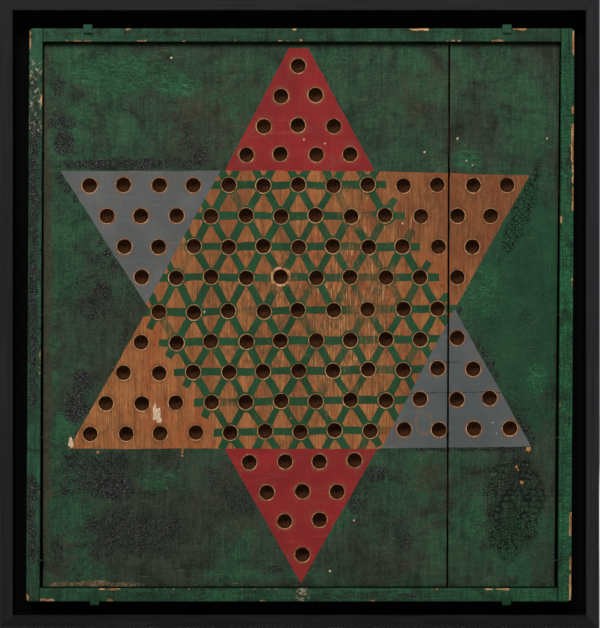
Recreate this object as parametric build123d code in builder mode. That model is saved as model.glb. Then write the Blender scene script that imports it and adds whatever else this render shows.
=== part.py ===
"""A hand-made Chinese checkers board, floated in a black shadow-box frame that hangs on a wall.

The playing face is a panel of two upright planks with 121 drilled marble sockets. Four strips are nailed
round it and two cleats hold the planks from behind. Four offset clips hold the board in the frame, on a
backing panel screwed to a strainer. Two D-ring hangers on the strainer carry everything.

Millimetres. +X is the viewer's right and +Z is up. The playing face looks along -Y. The origin is the
middle of the frame's back plane, so a point that lies "forward" of that plane has a negative Y.
"""

import os
from math import radians, sin, sqrt, tan

from build123d import *

INCH = 25.4

# Shadow-box frame.
opening_width = 520.0
opening_height = 548.8
rail_face = 12.0
rail_depth = 56.0
rail_arris = 0.5

# Strainer: four bars inside the rails that carry the backing panel and the hangers.
strainer_recess = 3.0
bar_width = 20.0
bar_depth = 16.0
backing_thickness = 6.0
backing_clearance = 0.5

# Game board. Its uprights lean, so the top sits to the right of the bottom.
board_width = 19.5 * INCH
board_height = 20.5 * INCH
board_drop = 2.0
board_lean = 3.0
board_shift = 0.9  # to the right
strip_width = 12.0
strip_depth = 27.0
strip_joint_gap = 0.4
strip_arris = 0.9
worn_corner = 2.6
panel_thickness = 15.0
cleat_thickness = 6.0
cleat_width = 38.0
cleat_length = 440.0
cleat_rise = 165.0
cleat_bevel = 1.0

# Gaps that the planks have opened by shrinking.
top_gap = 1.0
bottom_gap = 0.8
left_gap = (0.8, 2.6)  # at the top, at the bottom
right_gap = (1.0, 3.0)
seam_x = (136.5, 134.6)  # at the top, at the bottom
seam_gap = 1.2
plank_arris = 0.4

# Marble sockets: half-inch holes at an inch and a quarter, on a triangular grid.
pitch = 1.25 * INCH
row_pitch = pitch * sqrt(3) / 2
star_centre = (-0.9, 2.3)
socket_radius = 0.25 * INCH
worn_rim = 0.7
drill_point_angle = 118.0
socket_walls = (4.4, 5.4, 6.4)  # straight depths, because the drill had no stop
middle_rows = 4
last_row = 8

# How the maker's marking out strays from a true grid.
upper_rise = 1.9
upper_gain = 0.5  # more for each row further up
tip_rise = 2.9
lower_tilt = 0.8  # degrees
lower_rise = -0.2
widest_row_shift = 1.6
lower_point_shift = 3.5
lowest_rows_rise = {-7: 1.2, -8: -1.7}
hand_error = 0.55
seam_wall = 0.5  # least wood between a socket and the seam

# Clips: offset strips of brass with a soft lining, one screw each.
clip_width = 8.0
clip_metal = 1.6
clip_bend = 1.8
clip_foot = 6.8
clip_lap = 4.0
lining_side = 2.0
lining_front = 1.0
clip_x_top = (-192.0, 188.5)
clip_x_bottom = (-186.0, 188.0)

# Fasteners.
nail_radius = 0.8
nail_length = 30.0
nail_head_radius = 1.7
nail_head_thickness = 0.8
slot_width = 0.7
slot_share = 0.6  # of the head's height
corner_nail_rise = 4.0  # how far behind the other nails the corner nails sit
v_nail_metal = 0.7
v_nail_leg = 3.4
v_nail_depth = 9.0
v_nail_places = (0.34, 0.7)  # shares of the mitre, from the inside

# Hangers.
hanger_x = 246.0
hanger_z = 150.0
strap_width = 10.0
strap_length = 32.0
strap_metal = 1.2
strap_end_round = 4.5
wire_radius = 1.25
pin_clearance = 0.08
ring_inner_width = 20.0
ring_straight = 8.0
ring_corner = 3.0
axis_lift = 2.9

# Wall bumpers.
bumper_radius = 4.8
bumper_thickness = 4.0
bumper_round = 1.2
bumper_z = -262.0

# Distances forward of the frame's back plane.
backing_back = strainer_recess + bar_depth
board_back = backing_back + backing_thickness
panel_back = board_back + cleat_thickness
panel_face = panel_back + panel_thickness
board_front = board_back + strip_depth
panel_middle = (panel_back + panel_face) / 2
hanger_forward = strainer_recess - axis_lift

# Edges of the board.
board_top = board_height / 2 - board_drop
board_bottom = -board_height / 2 - board_drop
panel_top = board_top - strip_width - top_gap
panel_bottom = board_bottom + strip_width + bottom_gap
half_board = board_width / 2
half_panel = half_board - strip_width

os.makedirs("parts", exist_ok=True)


def front_plane(forward):
    """The upright plane that lies forward of the back plane and faces the viewer."""
    return Plane.XZ.offset(forward)


# Turns that point a fastener's or a drill's local Z out of the wood.
OUT_LEFT = (0, -90, 0)
OUT_RIGHT = (0, 90, 0)
OUT_UP = (0, 0, 0)
OUT_DOWN = (180, 0, 0)
OUT_FRONT = (90, 0, 0)
OUT_BACK = (-90, 0, 0)


def at(x, forward, z, turn):
    """A place in the frame's own axes, turned so that local Z leaves the wood."""
    return Location((x, -forward, z), turn)


def lean(x, z):
    """A point of the true rectangle moved to where the leaning board has it."""
    return (x + board_shift + board_lean * (z + board_drop) / board_height, z)


def save(part, name):
    """Label a finished piece and write it as its own file."""
    part.label = name
    export_step(part, f"parts/{name}.step")


# ---------------------------------------------------------------------------------------------------
# Marble sockets
# ---------------------------------------------------------------------------------------------------


def sockets_in_row(row):
    """How many sockets a row of the six-pointed star has, where row 0 is the middle one."""
    steps = abs(row)
    return 2 * middle_rows + 1 + steps if steps <= middle_rows else 2 * middle_rows + 1 - steps


def stray(row, column, phase):
    """A small repeatable error of the hand, between -hand_error and hand_error."""
    return hand_error * sin(12.9898 * row + 78.233 * column + phase)


def socket_centre(row, column):
    """Where the maker drilled one socket, as X and Z."""
    x = (column - (sockets_in_row(row) - 1) / 2) * pitch
    z = row * row_pitch
    if row > middle_rows + 1:
        z += tip_rise
    elif row > 0:
        z += upper_rise + upper_gain * row
    else:
        z += lower_rise + x * tan(radians(lower_tilt))
    if row < -middle_rows:
        x += lower_point_shift
    elif row == -middle_rows:
        x += widest_row_shift
    z += lowest_rows_rise.get(row, 0.0)
    x += star_centre[0] + stray(row, column, 0.0)
    z += star_centre[1] + stray(row, column, 2.1)
    keep_off = socket_radius + worn_rim + seam_wall + seam_gap / 2
    seam = seam_at(z)
    if abs(x - seam) < keep_off:
        x = seam + (keep_off if x > seam else -keep_off)
    return x, z


def seam_at(z):
    """The X of the seam's middle at a height."""
    share = (z - panel_bottom) / (panel_top - panel_bottom)
    return seam_x[1] + share * (seam_x[0] - seam_x[1])


def socket_wall(row, column):
    """The straight depth of one socket: one of three, in no visible order."""
    return socket_walls[(row * row + 2 * column + row * column) % len(socket_walls)]


def drill(wall):
    """What the drill takes out: a worn rim, a straight wall and the cone of its point."""
    point_depth = socket_radius / tan(radians(drill_point_angle / 2))
    with BuildPart() as cutter:
        with BuildSketch(Plane.XZ):
            Polygon(
                (0, 0),
                (socket_radius + worn_rim, 0),
                (socket_radius, -worn_rim),
                (socket_radius, -wall),
                (0, -wall - point_depth),
                align=None,
            )
        revolve(axis=Axis.Z)
    return cutter.part


sockets = [
    (*socket_centre(row, column), socket_wall(row, column))
    for row in range(-last_row, last_row + 1)
    for column in range(sockets_in_row(row))
]
drills = {wall: drill(wall) for wall in socket_walls}


def drill_sockets(left_of_seam):
    """Cut the sockets of the plank on one side of the seam."""
    for wall, cutter in drills.items():
        places = [
            at(x, panel_face, z, OUT_FRONT)
            for x, z, depth in sockets
            if depth == wall and (x < seam_at(z)) == left_of_seam
        ]
        if places:
            with Locations(*places):
                add(cutter, mode=Mode.SUBTRACT)


# ---------------------------------------------------------------------------------------------------
# Nails and screws. Each is placed by its head, and its local Z points out of the wood.
# ---------------------------------------------------------------------------------------------------

TOP_DOWN = (Align.CENTER, Align.CENTER, Align.MAX)


def nails(places, mode=Mode.ADD):
    """Wire nails with flat heads that sit flush."""
    with Locations(*places):
        Cylinder(nail_radius, nail_length, align=TOP_DOWN, mode=mode)
        Cylinder(nail_head_radius, nail_head_thickness, align=TOP_DOWN, mode=mode)


def screws(places, length, radius, head_radius, mode=Mode.ADD):
    """Countersunk wood screws that sit flush. As pieces they also get a driver slot."""
    head_height = head_radius - radius
    with Locations(*places):
        Cylinder(radius, length, align=TOP_DOWN, mode=mode)
        Cone(radius, head_radius, head_height, align=TOP_DOWN, mode=mode)
    if mode == Mode.ADD:
        with Locations(*places):
            Box(3 * head_radius, slot_width, slot_share * head_height, align=TOP_DOWN, mode=Mode.SUBTRACT)


def spread(count, span):
    """Evenly spaced places along a span, centred on zero."""
    return [span * (i / (count - 1) - 0.5) for i in range(count)]


side_nail_heights = [z - board_drop for z in spread(5, 0.86 * board_height)]
end_nail_places = spread(5, 0.8 * board_width)
corner_nail_forward = panel_middle - corner_nail_rise

left_nails = [at(lean(-half_board, z)[0], panel_middle, z, OUT_LEFT) for z in side_nail_heights]
right_nails = [at(lean(half_board, z)[0], panel_middle, z, OUT_RIGHT) for z in side_nail_heights]
top_nails = [at(x, panel_middle, board_top, OUT_UP) for x in end_nail_places]
bottom_nails = [at(x, panel_middle, board_bottom, OUT_DOWN) for x in end_nail_places]
corner_heights = (board_top - strip_width / 2, board_bottom + strip_width / 2)
left_corner_nails = [at(lean(-half_board, z)[0], corner_nail_forward, z, OUT_LEFT) for z in corner_heights]
right_corner_nails = [at(lean(half_board, z)[0], corner_nail_forward, z, OUT_RIGHT) for z in corner_heights]
corner_nails = left_corner_nails + right_corner_nails
edge_nails = left_nails + right_nails + top_nails + bottom_nails

cleat_screw_size = dict(length=15.0, radius=1.5, head_radius=3.2)
cleat_screw_x = (-190.0, -60.0, 70.0, 185.0)
cleat_screws = [
    at(x, board_back, side * cleat_rise - board_drop, OUT_BACK) for side in (1, -1) for x in cleat_screw_x
]

strainer_screw_size = dict(length=27.0, radius=1.6, head_radius=3.4)
bar_middle = strainer_recess + bar_depth / 2
bar_inside_x = opening_width / 2 - bar_width
bar_inside_z = opening_height / 2 - bar_width
left_bar_screws = [at(-bar_inside_x, bar_middle, z, OUT_RIGHT) for z in spread(3, 0.8 * opening_height)]
right_bar_screws = [at(bar_inside_x, bar_middle, z, OUT_LEFT) for z in spread(3, 0.8 * opening_height)]
top_bar_screws = [at(x, bar_middle, bar_inside_z, OUT_DOWN) for x in spread(3, 0.8 * opening_width)]
bottom_bar_screws = [at(x, bar_middle, -bar_inside_z, OUT_UP) for x in spread(3, 0.8 * opening_width)]

backing_screw_size = dict(length=16.0, radius=1.4, head_radius=2.9)
backing_screw_x = opening_width / 2 - 0.8 * bar_width
backing_screw_z = opening_height / 2 - 0.85 * bar_width
side_backing_screws = [
    at(side * backing_screw_x, board_back, z, OUT_FRONT)
    for side in (1, -1)
    for z in spread(4, 0.7 * opening_height)
]
end_backing_screws = [
    at(x, board_back, side * backing_screw_z, OUT_FRONT)
    for side in (1, -1)
    for x in spread(4, 0.6 * opening_width)
]
backing_screws = side_backing_screws + end_backing_screws

clip_screw_size = dict(length=13.0, radius=1.2, head_radius=2.3)
clip_stem_out = lining_side + clip_metal
clip_screw_out = clip_stem_out + 0.5 * clip_foot
top_clip_screws = [at(x, board_back + clip_metal, board_top + clip_screw_out, OUT_FRONT) for x in clip_x_top]
bottom_clip_screws = [
    at(x, board_back + clip_metal, board_bottom - clip_screw_out, OUT_FRONT) for x in clip_x_bottom
]

hanger_screw_size = dict(length=12.0, radius=1.4, head_radius=2.9)
strap_screw_drops = (9.5, 25.5)
hanger_sides = {"left": -hanger_x, "right": hanger_x}
hanger_screws = [
    at(x, strainer_recess - strap_metal, hanger_z - drop, OUT_BACK)
    for x in hanger_sides.values()
    for drop in strap_screw_drops
]

# ---------------------------------------------------------------------------------------------------
# Game board: planks
# ---------------------------------------------------------------------------------------------------

panel_left = (
    lean(-half_panel, panel_top)[0] + left_gap[0],
    lean(-half_panel, panel_bottom)[0] + left_gap[1],
)
panel_right = (
    lean(half_panel, panel_top)[0] - right_gap[0],
    lean(half_panel, panel_bottom)[0] - right_gap[1],
)
half_gap = seam_gap / 2

for name, outline, left_of_seam, own_nails in (
    (
        "wide_plank",
        [
            (panel_left[1], panel_bottom),
            (seam_x[1] - half_gap, panel_bottom),
            (seam_x[0] - half_gap, panel_top),
            (panel_left[0], panel_top),
        ],
        True,
        left_nails + top_nails + bottom_nails,
    ),
    (
        "narrow_plank",
        [
            (seam_x[1] + half_gap, panel_bottom),
            (panel_right[1], panel_bottom),
            (panel_right[0], panel_top),
            (seam_x[0] + half_gap, panel_top),
        ],
        False,
        right_nails + top_nails + bottom_nails,
    ),
):
    with BuildPart() as plank:
        with BuildSketch(front_plane(panel_back)):
            Polygon(*outline, align=None)
        extrude(amount=panel_thickness)
        fillet(plank.faces().sort_by(Axis.Y)[0].edges(), plank_arris)
        drill_sockets(left_of_seam)
        nails(own_nails, mode=Mode.SUBTRACT)
        screws(cleat_screws, **cleat_screw_size, mode=Mode.SUBTRACT)
    save(plank.part, name)

# ---------------------------------------------------------------------------------------------------
# Game board: edge strips, cleats and their fasteners
# ---------------------------------------------------------------------------------------------------

half_ends = half_panel - strip_joint_gap


def strip_block(corners):
    """A strip's outline drawn out to its full depth."""
    with BuildSketch(front_plane(board_back)) as outline:
        Polygon(*[lean(x, z) for x, z in corners], align=None)
    extrude(outline.sketch, amount=strip_depth)


for name, side, own_nails, own_corner_nails in (
    ("left_edge_strip", -1, left_nails, left_corner_nails),
    ("right_edge_strip", 1, right_nails, right_corner_nails),
):
    with BuildPart() as side_strip:
        strip_block(
            [
                (side * half_panel, board_bottom),
                (side * half_board, board_bottom),
                (side * half_board, board_top),
                (side * half_panel, board_top),
            ][::side]
        )
        outer_corners = side_strip.edges().filter_by(Axis.Y).sort_by(Axis.X)
        fillet(outer_corners[:2] if side < 0 else outer_corners[-2:], worn_corner)
        fillet(side_strip.faces().sort_by(Axis.Y)[0].edges(), strip_arris)
        nails(own_nails + own_corner_nails, mode=Mode.SUBTRACT)
    save(side_strip.part, name)

for name, outer, inner, own_nails in (
    ("top_edge_strip", board_top, board_top - strip_width, top_nails),
    ("bottom_edge_strip", board_bottom, board_bottom + strip_width, bottom_nails),
):
    with BuildPart() as end_strip:
        low, high = sorted((outer, inner))
        strip_block([(-half_ends, low), (half_ends, low), (half_ends, high), (-half_ends, high)])
        fillet(end_strip.faces().sort_by(Axis.Y)[0].edges(), strip_arris)
        nails(own_nails + corner_nails, mode=Mode.SUBTRACT)
    save(end_strip.part, name)

with BuildPart() as edge_strip_nails:
    nails(edge_nails + corner_nails)
save(edge_strip_nails.part, "edge_strip_nails")

for name, side in (("upper_cleat", 1), ("lower_cleat", -1)):
    with BuildPart() as cleat:
        with BuildSketch(front_plane(board_back)):
            with Locations((0, side * cleat_rise - board_drop)):
                Rectangle(cleat_length, cleat_width)
        extrude(amount=cleat_thickness)
        chamfer(cleat.faces().sort_by(Axis.Y)[-1].edges(), cleat_bevel)
        screws(cleat_screws, **cleat_screw_size, mode=Mode.SUBTRACT)
    save(cleat.part, name)

with BuildPart() as cleat_screw_set:
    screws(cleat_screws, **cleat_screw_size)
save(cleat_screw_set.part, "cleat_screws")

# ---------------------------------------------------------------------------------------------------
# Frame rails, mitred at the corners, and the V-nails that pull the mitres together
# ---------------------------------------------------------------------------------------------------

inner_x, inner_z = opening_width / 2, opening_height / 2
outer_x, outer_z = inner_x + rail_face, inner_z + rail_face


def v_nails(corners, mode=Mode.ADD):
    """Two bent steel V-nails across each mitre, pressed in flush from behind."""
    for side_x, side_z in corners:
        for along in v_nail_places:
            tip_x = side_x * (inner_x + along * rail_face)
            tip_z = side_z * (inner_z + along * rail_face)
            crotch = v_nail_metal * sqrt(2)
            with BuildSketch(Plane.XZ) as v_shape:
                with BuildLine():
                    Polyline(
                        (tip_x, tip_z),
                        (tip_x - side_x * v_nail_leg, tip_z),
                        (tip_x - side_x * v_nail_leg, tip_z - side_z * v_nail_metal),
                        (tip_x - side_x * crotch, tip_z - side_z * v_nail_metal),
                        (tip_x - side_x * v_nail_metal, tip_z - side_z * crotch),
                        (tip_x - side_x * v_nail_metal, tip_z - side_z * v_nail_leg),
                        (tip_x, tip_z - side_z * v_nail_leg),
                        close=True,
                    )
                make_face()
            extrude(v_shape.sketch, amount=v_nail_depth, mode=mode)


RAILS = {
    "top_frame_rail": ((-1, 1), (1, 1), top_bar_screws),
    "bottom_frame_rail": ((-1, -1), (1, -1), bottom_bar_screws),
    "left_frame_rail": ((-1, -1), (-1, 1), left_bar_screws),
    "right_frame_rail": ((1, -1), (1, 1), right_bar_screws),
}
for name, (first, second, own_screws) in RAILS.items():
    with BuildPart() as rail:
        with BuildSketch(Plane.XZ):
            Polygon(
                (first[0] * inner_x, first[1] * inner_z),
                (first[0] * outer_x, first[1] * outer_z),
                (second[0] * outer_x, second[1] * outer_z),
                (second[0] * inner_x, second[1] * inner_z),
                align=None,
            )
        extrude(amount=rail_depth)
        along = Axis.X if first[1] == second[1] else Axis.Z
        chamfer(rail.faces().sort_by(Axis.Y)[0].edges().filter_by(along), rail_arris)
        v_nails((first, second), mode=Mode.SUBTRACT)
        screws(own_screws, **strainer_screw_size, mode=Mode.SUBTRACT)
    save(rail.part, name)

with BuildPart() as corner_v_nails:
    v_nails([(x, z) for x in (-1, 1) for z in (-1, 1)])
save(corner_v_nails.part, "corner_v_nails")

# ---------------------------------------------------------------------------------------------------
# Strainer, backing panel and their screws
# ---------------------------------------------------------------------------------------------------

bar_screws = left_bar_screws + right_bar_screws + top_bar_screws + bottom_bar_screws
clip_screws = top_clip_screws + bottom_clip_screws
side_bar_x = inner_x - bar_width / 2
end_bar_z = inner_z - bar_width / 2
BARS = {
    "left_strainer_bar": (-side_bar_x, 0, bar_width, opening_height),
    "right_strainer_bar": (side_bar_x, 0, bar_width, opening_height),
    "top_strainer_bar": (0, end_bar_z, opening_width - 2 * bar_width, bar_width),
    "bottom_strainer_bar": (0, -end_bar_z, opening_width - 2 * bar_width, bar_width),
}
for name, (x, z, width, height) in BARS.items():
    with BuildPart() as bar:
        with BuildSketch(front_plane(strainer_recess)):
            with Locations((x, z)):
                Rectangle(width, height)
        extrude(amount=bar_depth)
        screws(bar_screws, **strainer_screw_size, mode=Mode.SUBTRACT)
        screws(backing_screws, **backing_screw_size, mode=Mode.SUBTRACT)
        screws(clip_screws, **clip_screw_size, mode=Mode.SUBTRACT)
        screws(hanger_screws, **hanger_screw_size, mode=Mode.SUBTRACT)
    save(bar.part, name)

with BuildPart() as strainer_screws:
    screws(bar_screws, **strainer_screw_size)
save(strainer_screws.part, "strainer_screws")

with BuildPart() as backing_panel:
    with BuildSketch(front_plane(backing_back)):
        Rectangle(opening_width - 2 * backing_clearance, opening_height - 2 * backing_clearance)
    extrude(amount=backing_thickness)
    screws(backing_screws, **backing_screw_size, mode=Mode.SUBTRACT)
    screws(clip_screws, **clip_screw_size, mode=Mode.SUBTRACT)
save(backing_panel.part, "backing_panel")

with BuildPart() as backing_screw_set:
    screws(backing_screws, **backing_screw_size)
save(backing_screw_set.part, "backing_screws")

# ---------------------------------------------------------------------------------------------------
# Clips: foot on the backing, stem beside the board, lip over the strip
# ---------------------------------------------------------------------------------------------------

lip_forward = board_front + lining_front


def clip_profile(edge, side):
    """The clip's bent strip, drawn at an edge of the board. Side is 1 above it and -1 below it."""
    foot_end = edge + side * (clip_stem_out + clip_foot)
    stem = edge + side * (lining_side + clip_metal / 2)
    lip_end = edge - side * clip_lap
    with BuildLine():
        bends = FilletPolyline(
            (-board_back - clip_metal / 2, foot_end),
            (-board_back - clip_metal / 2, stem),
            (-lip_forward - clip_metal / 2, stem),
            (-lip_forward - clip_metal / 2, lip_end),
            radius=clip_bend,
        )
    trace(bends, line_width=clip_metal)


def lining_profile(edge, side):
    """The soft lining between the clip and the board: an L round the strip's outer arris."""
    inside, outside, lip_end = edge, edge + side * lining_side, edge - side * clip_lap
    Polygon(
        (-board_back - clip_metal, inside),
        (-board_back - clip_metal, outside),
        (-lip_forward + lining_front, outside),
        (-lip_forward, outside),
        (-lip_forward, lip_end),
        (-board_front, lip_end),
        (-board_front, inside),
        align=None,
    )
    front_corners = vertices().group_by(Axis.X)[0].sort_by(Axis.Y)
    fillet(front_corners[-1] if side > 0 else front_corners[0], clip_bend - clip_metal / 2)


CLIPS = {
    "top_left": (clip_x_top[0], board_top, 1),
    "top_right": (clip_x_top[1], board_top, 1),
    "bottom_left": (clip_x_bottom[0], board_bottom, -1),
    "bottom_right": (clip_x_bottom[1], board_bottom, -1),
}
for corner, (x, edge, side) in CLIPS.items():
    with BuildPart() as clip:
        with BuildSketch(Plane.YZ.offset(x)):
            clip_profile(edge, side)
        extrude(amount=clip_width / 2, both=True)
        screws(clip_screws, **clip_screw_size, mode=Mode.SUBTRACT)
    save(clip.part, f"{corner}_clip")

with BuildPart() as clip_screw_set:
    screws(clip_screws, **clip_screw_size)
save(clip_screw_set.part, "clip_screws")

with BuildPart() as clip_linings:
    for x, edge, side in CLIPS.values():
        with BuildSketch(Plane.YZ.offset(x)):
            lining_profile(edge, side)
        extrude(amount=clip_width / 2, both=True)
save(clip_linings.part, "clip_linings")

# ---------------------------------------------------------------------------------------------------
# Hangers and wall bumpers
# ---------------------------------------------------------------------------------------------------

loop_inner = wire_radius + pin_clearance
loop_outer = loop_inner + strap_metal
ring_half = ring_inner_width / 2 + wire_radius


def hanger_strap(x):
    """A strap screwed to the strainer, rolled into a loop at its top."""
    with BuildPart() as strap:
        with BuildSketch(Plane.YZ.offset(x)):
            with Locations((-strainer_recess, hanger_z)):
                Rectangle(strap_metal, strap_length, align=(Align.MIN, Align.MAX))
            with Locations((-hanger_forward, hanger_z)):
                Circle(loop_outer)
                Circle(loop_inner, mode=Mode.SUBTRACT)
        extrude(amount=strap_width / 2, both=True)
        lower_corners = strap.edges().filter_by(Axis.Y).group_by(Axis.Z)[0]
        fillet(lower_corners, strap_end_round)
        screws(hanger_screws, **hanger_screw_size, mode=Mode.SUBTRACT)
    return strap.part


def hanger_ring(x):
    """A D of wire whose straight side turns in the strap's loop. It hangs down."""
    base = hanger_z - ring_straight
    corner_x, corner_z = ring_half - ring_corner, hanger_z - ring_corner
    with BuildPart() as ring:
        with BuildLine(Plane.XZ.offset(hanger_forward)) as d_shape:
            Line((x - corner_x, hanger_z), (x + corner_x, hanger_z))
            RadiusArc((x + corner_x, hanger_z), (x + ring_half, corner_z), ring_corner)
            Line((x + ring_half, corner_z), (x + ring_half, base))
            RadiusArc((x + ring_half, base), (x - ring_half, base), ring_half)
            Line((x - ring_half, base), (x - ring_half, corner_z))
            RadiusArc((x - ring_half, corner_z), (x - corner_x, hanger_z), ring_corner)
        with BuildSketch(Plane(origin=(x, -hanger_forward, hanger_z), z_dir=(1, 0, 0))):
            Circle(wire_radius)
        sweep(path=d_shape.wires()[0])
    return ring.part


for side, x in hanger_sides.items():
    save(hanger_strap(x), f"{side}_hanger_strap")
    save(hanger_ring(x), f"{side}_hanger_ring")

with BuildPart() as hanger_screw_set:
    screws(hanger_screws, **hanger_screw_size)
save(hanger_screw_set.part, "hanger_screws")

for name, side in (("left_wall_bumper", -1), ("right_wall_bumper", 1)):
    with BuildPart() as bumper:
        with BuildSketch(Plane.XZ):
            with Locations((side * (inner_x + rail_face / 2), bumper_z)):
                Circle(bumper_radius)
        extrude(amount=-bumper_thickness)
        fillet(bumper.faces().sort_by(Axis.Y)[-1].edges(), bumper_round)
    save(bumper.part, name)
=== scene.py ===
import math
import random

import bpy
import numpy as np
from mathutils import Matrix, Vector, noise
from mathutils.geometry import delaunay_2d_cdt


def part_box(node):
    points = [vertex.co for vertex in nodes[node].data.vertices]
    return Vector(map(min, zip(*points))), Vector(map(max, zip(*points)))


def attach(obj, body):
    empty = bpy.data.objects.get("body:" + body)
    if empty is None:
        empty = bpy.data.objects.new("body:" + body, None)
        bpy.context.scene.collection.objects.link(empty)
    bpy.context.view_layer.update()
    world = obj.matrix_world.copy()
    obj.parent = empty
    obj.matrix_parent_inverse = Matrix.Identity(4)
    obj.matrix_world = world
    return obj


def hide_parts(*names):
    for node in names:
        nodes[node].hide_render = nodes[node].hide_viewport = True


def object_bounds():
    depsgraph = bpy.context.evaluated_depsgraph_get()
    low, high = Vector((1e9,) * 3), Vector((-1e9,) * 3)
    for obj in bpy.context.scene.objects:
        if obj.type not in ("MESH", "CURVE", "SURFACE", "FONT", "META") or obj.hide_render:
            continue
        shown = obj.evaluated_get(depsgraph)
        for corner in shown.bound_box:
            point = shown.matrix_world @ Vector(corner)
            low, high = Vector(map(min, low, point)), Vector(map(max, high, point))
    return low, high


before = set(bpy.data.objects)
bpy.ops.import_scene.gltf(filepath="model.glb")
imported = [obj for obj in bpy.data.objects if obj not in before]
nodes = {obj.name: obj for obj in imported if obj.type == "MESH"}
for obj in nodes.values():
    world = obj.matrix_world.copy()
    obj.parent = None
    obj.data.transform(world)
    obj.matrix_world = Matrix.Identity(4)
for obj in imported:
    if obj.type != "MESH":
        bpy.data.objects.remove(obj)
cad_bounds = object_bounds()
BOARD = "board_and_frame"
MM = 0.001
DARKEST_SHARE = 0.12  # how much of a tone the noises always leave


# ---------------------------------------------------------------- materials


def rgb(red, green, blue):
    """An sRGB colour, each part from 0 to 255, as the linear colour that a shader takes."""
    parts = [v / 255 for v in (red, green, blue)]
    return [v / 12.92 if v <= 0.04045 else ((v + 0.055) / 1.055) ** 2.4 for v in parts] + [1.0]


class Finish:
    """A material being made. Each method adds a node and returns its output."""

    def __init__(self, name, specular=0.05, metallic=0.0):
        self.material = bpy.data.materials.new(name)
        self.material.use_nodes = True
        self.tree = self.material.node_tree
        self.shader = self.tree.nodes["Principled BSDF"]
        self.shader.inputs["Specular IOR Level"].default_value = specular
        self.shader.inputs["Metallic"].default_value = metallic
        self.place = self.add("ShaderNodeTexCoord").outputs["Object"]
        self.normal = None

    def add(self, kind, inputs=None, **settings):
        node = self.tree.nodes.new(kind)
        for key, value in settings.items():
            setattr(node, key, value)
        for key, value in (inputs or {}).items():
            self.feed(node.inputs[key], value)
        return node

    def feed(self, socket, value):
        if isinstance(value, bpy.types.NodeSocket):
            self.tree.links.new(value, socket)
        else:
            socket.default_value = value

    def scaled(self, per_metre):
        scale = per_metre if isinstance(per_metre, (tuple, list)) else (per_metre,) * 3
        return self.add("ShaderNodeMapping", {"Vector": self.place, "Scale": scale}).outputs[0]

    def noise(self, per_metre, detail=3.0, roughness=0.55, distortion=0.0):
        inputs = {"Vector": self.scaled(per_metre), "Scale": 1.0, "Detail": detail}
        inputs.update({"Roughness": roughness, "Distortion": distortion})
        return self.add("ShaderNodeTexNoise", inputs).outputs[0]

    def cells(self, per_metre, randomness=1.0, wobble=0.0):
        """How far each place is from the nearest border between cells."""
        where = self.scaled(per_metre)
        if wobble:
            shift = self.add("ShaderNodeTexNoise", {"Vector": where, "Scale": 0.8, "Detail": 2.0})
            shift = self.vector("SCALE", {0: shift.outputs["Color"], "Scale": wobble})
            where = self.vector("ADD", {0: where, 1: shift})
        inputs = {"Vector": where, "Scale": 1.0, "Randomness": randomness}
        return self.add("ShaderNodeTexVoronoi", inputs, feature="DISTANCE_TO_EDGE").outputs["Distance"]

    def math(self, operation, a, b=0.0, clamp=False):
        return self.add("ShaderNodeMath", {0: a, 1: b}, operation=operation, use_clamp=clamp).outputs[0]

    def times(self, a, b):
        return self.math("MULTIPLY", a, b)

    def plus(self, a, b):
        return self.math("ADD", a, b)

    def minus(self, a, b):
        return self.math("SUBTRACT", a, b)

    def most(self, a, b):
        return self.math("MAXIMUM", a, b)

    def vector(self, operation, inputs):
        return self.add("ShaderNodeVectorMath", inputs, operation=operation).outputs[0]

    def places(self):
        """Each place's distance to the right, back and up, in metres."""
        return self.add("ShaderNodeSeparateXYZ", {0: self.place}).outputs

    def band(self, value, low, high, bottom=0.0, top=1.0):
        """bottom where value is low, top where it is high, and a smooth step between them."""
        inputs = {"Value": value, "From Min": low, "From Max": high, "To Min": bottom, "To Max": top}
        return self.add("ShaderNodeMapRange", inputs, interpolation_type="SMOOTHSTEP").outputs[0]

    def mix(self, share, a, b, blend="MIX"):
        inputs = {0: share, 6: a, 7: b}
        return self.add("ShaderNodeMix", inputs, data_type="RGBA", blend_type=blend).outputs[2]

    def over(self, tone, colour, where, strength):
        """The tone with a colour laid over it, where a value says and no more strongly than the strength."""
        return self.mix(self.times(where, strength), tone, colour)

    def clouds(self, per_metre, detail, roughness, low, high, most=1.0):
        """A noise with its middle stretched out: nothing below low, and most above high."""
        return self.band(self.noise(per_metre, detail, roughness), low, high, 0.0, most)

    def mark(self, name):
        return self.add("ShaderNodeAttribute", attribute_name=name).outputs["Fac"]

    def bump(self, height, depth, strength=1.0):
        inputs = {"Height": height, "Distance": depth * MM, "Strength": strength}
        if self.normal:
            inputs["Normal"] = self.normal
        self.normal = self.add("ShaderNodeBump", inputs).outputs[0]

    def done(self, colour, roughness=0.6):
        self.feed(self.shader.inputs["Base Color"], colour)
        self.feed(self.shader.inputs["Roughness"], roughness)
        if self.normal:
            self.feed(self.shader.inputs["Normal"], self.normal)
        return self.material

    def varied(self, tone, *layers):
        """The tone made lighter and darker by noises, each given as (noise, how strongly)."""
        total = 1.0
        for layer, strength in layers:
            total = self.plus(self.times(self.minus(layer, 0.5), strength), total)
        return self.mix(1.0, tone, self.most(total, DARKEST_SHARE), "MULTIPLY")


def stretched(across, along, axis):
    scale = [across] * 3
    scale[axis] = along
    return scale


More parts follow.
